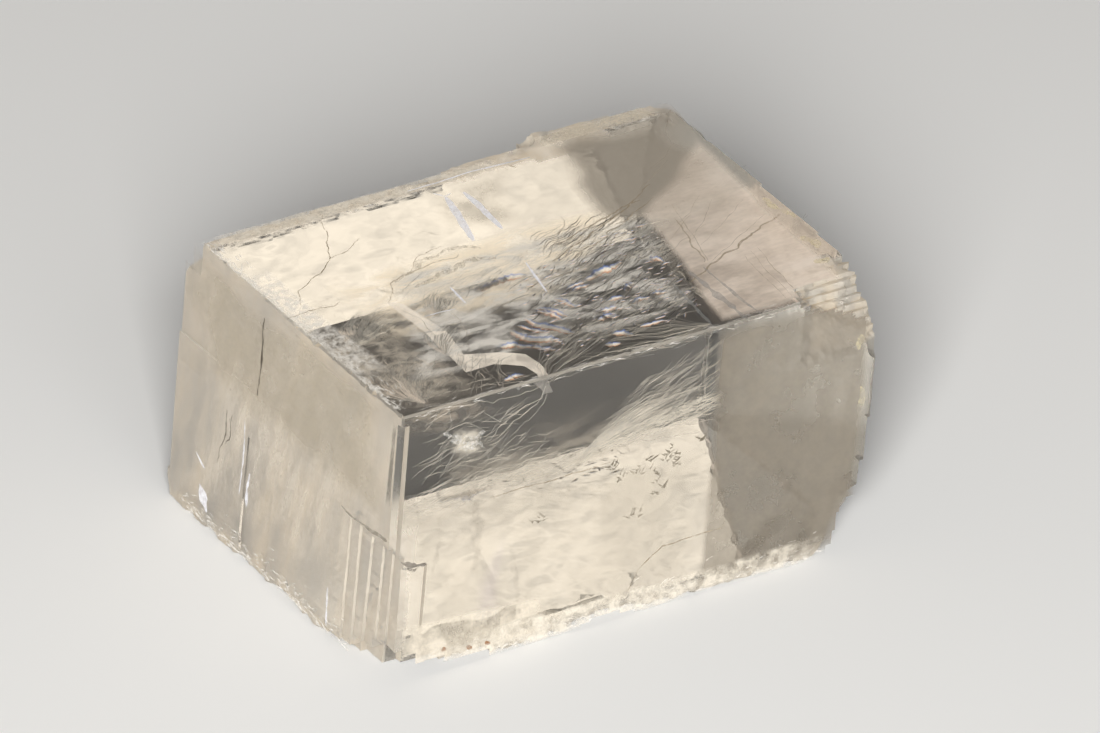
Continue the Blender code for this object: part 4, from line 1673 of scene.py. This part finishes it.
SURFACE_MARKS = (
    DrawnLines("bruised_streaks_on_top", Face.TOP, (
        (1.05, ((32.8, 41.4), (32.0, 37.8), (31.0, 34.2), (30.2, 31.0))),
        (0.90, ((35.4, 41.4), (35.4, 38.0), (35.1, 34.6), (34.9, 31.8))),
        (0.38, ((33.0, 23.6), (32.4, 20.8), (31.5, 16.6))),
        (0.34, ((21.6, 23.0), (21.4, 21.0), (21.2, 19.0))),
        (0.16, ((15.0, 18.6), (17.0, 18.6), (19.4, 18.4))),
        (0.20, ((33.9, 41.9), (32.8, 41.6), (31.9, 43.0))),
        (0.25, ((29.4, 44.8), (34.0, 44.9), (38.9, 45.2), (47.4, 44.7))),
    ), WHITE_STREAK, 0.04, uneven=0.15),
    # Painted glints: white matt streaks that stand in for highlights on the left face.
    DrawnLines("glint_on_left", Face.LEFT, (
        (1.2, ((42.4, 5.6), (41.3, 4.2), (40.4, 2.6))),
        (0.3, ((43.6, 9.4), (42.6, 8.8), (41.6, 8.4))),
        (0.25, ((13.0, 7.0), (12.9, 4.0), (12.8, 1.6))),
        (0.2, ((33.4, 19.4), (33.2, 14.0), (33.6, 9.0))),
        (0.5, ((31.6, 13.0), (31.9, 10.6), (31.7, 8.0))),
    ), WHITE_STREAK, 0.15),
    DrawnLines("rust_on_front_edge", Face.FRONT, (
        (0.8, ((8.6, 3.1), (9.0, 2.5))),
        (0.5, ((12.2, 1.9), (13.2, 1.8))),
        (0.6, ((15.0, 2.2), (15.8, 2.2))),
    ), MattMark("iron_rust", ("6B3F22", "9C6A3C"), (0.3, 1.0), 0.6), 0.5),
    DrawnLines("yellow_bloom_on_front", Face.FRONT, (
        (0.8, ((67.0, 30.6), (67.4, 28.6))),
        (0.9, ((68.2, 23.4), (68.6, 20.4))),
    ), MattMark("yellow_bloom", ("BDB08A", "D6CDAE"), (0.0, 0.6), 1.2), 0.4),
    DrawnLines("white_bruise_on_front", Face.FRONT, (
        (0.9, ((6.6, 34.2), (9.3, 31.9), (11.8, 30.2))),
        (0.7, ((8.6, 31.4), (9.8, 31.0), (11.2, 31.4))),
        (0.5, ((9.0, 33.2), (10.2, 32.2), (11.6, 31.8))),
    ), MattMark("white_bruise", ("C9C7C2", "F4F2EC"), (0.0, 0.4), 0.5), 0.7),
    DrawnLines("dark_wing_on_front", Face.FRONT, (
        (0.55, ((1.5, 17.2), (3.2, 16.4), (5.3, 15.8))),
        (0.30, ((2.4, 16.2), (3.4, 15.6), (4.2, 15.9))),
    ), MattMark("shaded_step_lip", ("565149", "88817A"), (0.45, 0.95), 1.0), 0.2),
    DrawnLines("dark_lip_over_risers", Face.LEFT, (
        (0.25, ((11.2, 19.3), (8.8, 19.2), (6.4, 19.6), (4.4, 19.5))),
        (0.50, ((6.2, 19.7), (4.0, 19.8), (1.2, 20.0))),
    ), MattMark("shaded_riser_lip", ("6B655B", "938B7E"), (0.3, 0.85), 1.0), 0.25),
    DrawnLines("shaded_streaks_on_front", Face.FRONT, (
        (1.2, ((11.4, 25.6), (12.0, 20.0), (12.4, 12.0))),
        (0.7, ((6.6, 22.6), (6.9, 18.0), (6.8, 13.0))),
    ), MattMark("grey_front_streak", ("857F74", "A39B8E"), (0.0, 0.4), 3.0), 0.8, depth=-0.04),
    DrawnLines("yellow_bloom_on_top", Face.TOP, (
        (0.9, ((67.6, 23.0), (67.9, 20.0), (68.2, 17.6))),
        (1.0, ((66.9, 13.4), (67.2, 11.6), (67.0, 9.8))),
        (0.7, ((64.6, 7.4), (65.8, 7.0), (66.8, 7.2))),
    ), MattMark("yellow_rim_bloom", ("C4B486", "D9CFAE"), (0.1, 0.6), 1.2), 0.5, depth=-0.05),
    # Painted shade: grey matt stripes that stand in for darker glassy stripes seen in the clear crystal.
    DrawnLines("soft_stripes_on_top", Face.TOP, (
        (0.75, ((49.6, 12.5), (49.6, 6.6), (49.7, -0.3))),
        (0.55, ((46.2, 11.1), (45.6, 5.0), (45.0, 0.6))),
        (0.35, ((51.8, 12.5), (51.6, 5.6), (51.9, -0.4))),
    ), MattMark("painted_shade_stripe", ("6F7072", "8E8E8C"), (0.25, 0.6), 2.0), 0.1, depth=-0.08),
    DrawnLines("fine_parallel_lines_on_top", Face.TOP, (
        (0.10, ((59.0, 13.0), (58.1, 7.0), (57.5, 1.7))),
        (0.08, ((57.8, 12.5), (57.1, 6.8), (56.6, 1.7))),
        (0.10, ((60.2, 13.4), (59.3, 7.5), (58.5, 2.0))),
        (0.08, ((54.0, 18.8), (57.9, 21.7), (61.8, 25.6))),
        (0.09, ((44.5, 15.7), (52.3, 20.3), (57.5, 24.1))),
        (0.08, ((54.3, 17.1), (60.1, 20.5), (65.1, 23.9))),
        (0.08, ((53.4, 13.2), (60.0, 16.8), (65.8, 19.7))),
        (0.08, ((61.0, 27.1), (57.7, 24.5), (54.3, 22.4))),
        (0.07, ((47.8, 16.2), (53.3, 19.2), (57.9, 21.1))),
        (0.12, ((56.7, 26.9), (55.0, 20.4), (53.0, 13.4))),
        (0.07, ((59.0, 35.3), (62.2, 36.9), (64.7, 38.9))),
        (0.07, ((55.2, 31.8), (59.6, 34.4), (62.3, 36.3))),
    ), MattMark("fine_cleavage_line", ("8F8270", "B5A893"), (0.2, 0.75), 1.0), 0.15, depth=-0.08),
    DrawnLines("crumbly_band_on_top", Face.TOP, (
        (0.90, ((17.8, 24.8), (22.2, 26.3), (27.0, 27.0), (30.4, 26.3))),
        (0.70, ((16.3, 26.7), (21.6, 29.8), (25.7, 30.4), (30.2, 29.6))),
    ), MattMark("grey_crumbs", ("8C8678", "C9C0AE"), (0.0, 0.75), 0.9), 0.5, depth=-0.05),
    EtchMarks(),
    EdgeSplinters(
        "splinters_along_front_top_edge", Face.TOP, ((2.0, 0.2), (60.0, 0.2)), (0.0, 1.0), 120,
        reach=0.3, length=(0.3, 2.4), width=(0.03, 0.1), turn=0.12,
    ),
    EdgeSplinters(
        "splinters_under_front_top_edge", Face.FRONT, ((2.0, 37.8), (60.0, 37.8)), (0.0, -1.0), 80,
        reach=0.25, width=(0.03, 0.1), turn=0.12, seed=92,
    ),
    EdgeSplinters(
        "splinters_along_left_top_edge", Face.TOP, ((0.2, 2.0), (0.2, 46.0)), (1.0, 0.0), 520,
        reach=0.55, seed=93,
    ),
    EdgeSplinters(
        "splinters_along_front_lower_edge", Face.FRONT, ((6.0, 1.6), (20.0, 0.4), (64.0, 0.4)), (0.0, 1.0),
        320, reach=0.7, length=(0.3, 1.5), width=(0.04, 0.16), turn=0.4, seed=94,
    ),
    EdgeSplinters(
        "splinters_along_left_lower_edge", Face.LEFT, ((2.0, 0.8), (46.0, 0.8)), (0.0, 1.0), 260,
        reach=0.8, seed=95,
    ),
)


def main() -> None:
    """Builds the crystal, what it holds and the studio, and reports each piece."""
    logging.basicConfig(level=logging.INFO, format="%(name)s: %(message)s")
    inner = (CrystalBody(), CleavageStrips(), *FEATHERS, *STRANDS, *VEILS, FringedWaves())
    for part in (*inner, *SURFACE_CRACKS, *SURFACE_MARKS):
        for piece in part.build():
            LOG.info("%s has %d faces", piece.name, len(piece.data.polygons))
    Studio().build()


if __name__ == "__main__":
    main()
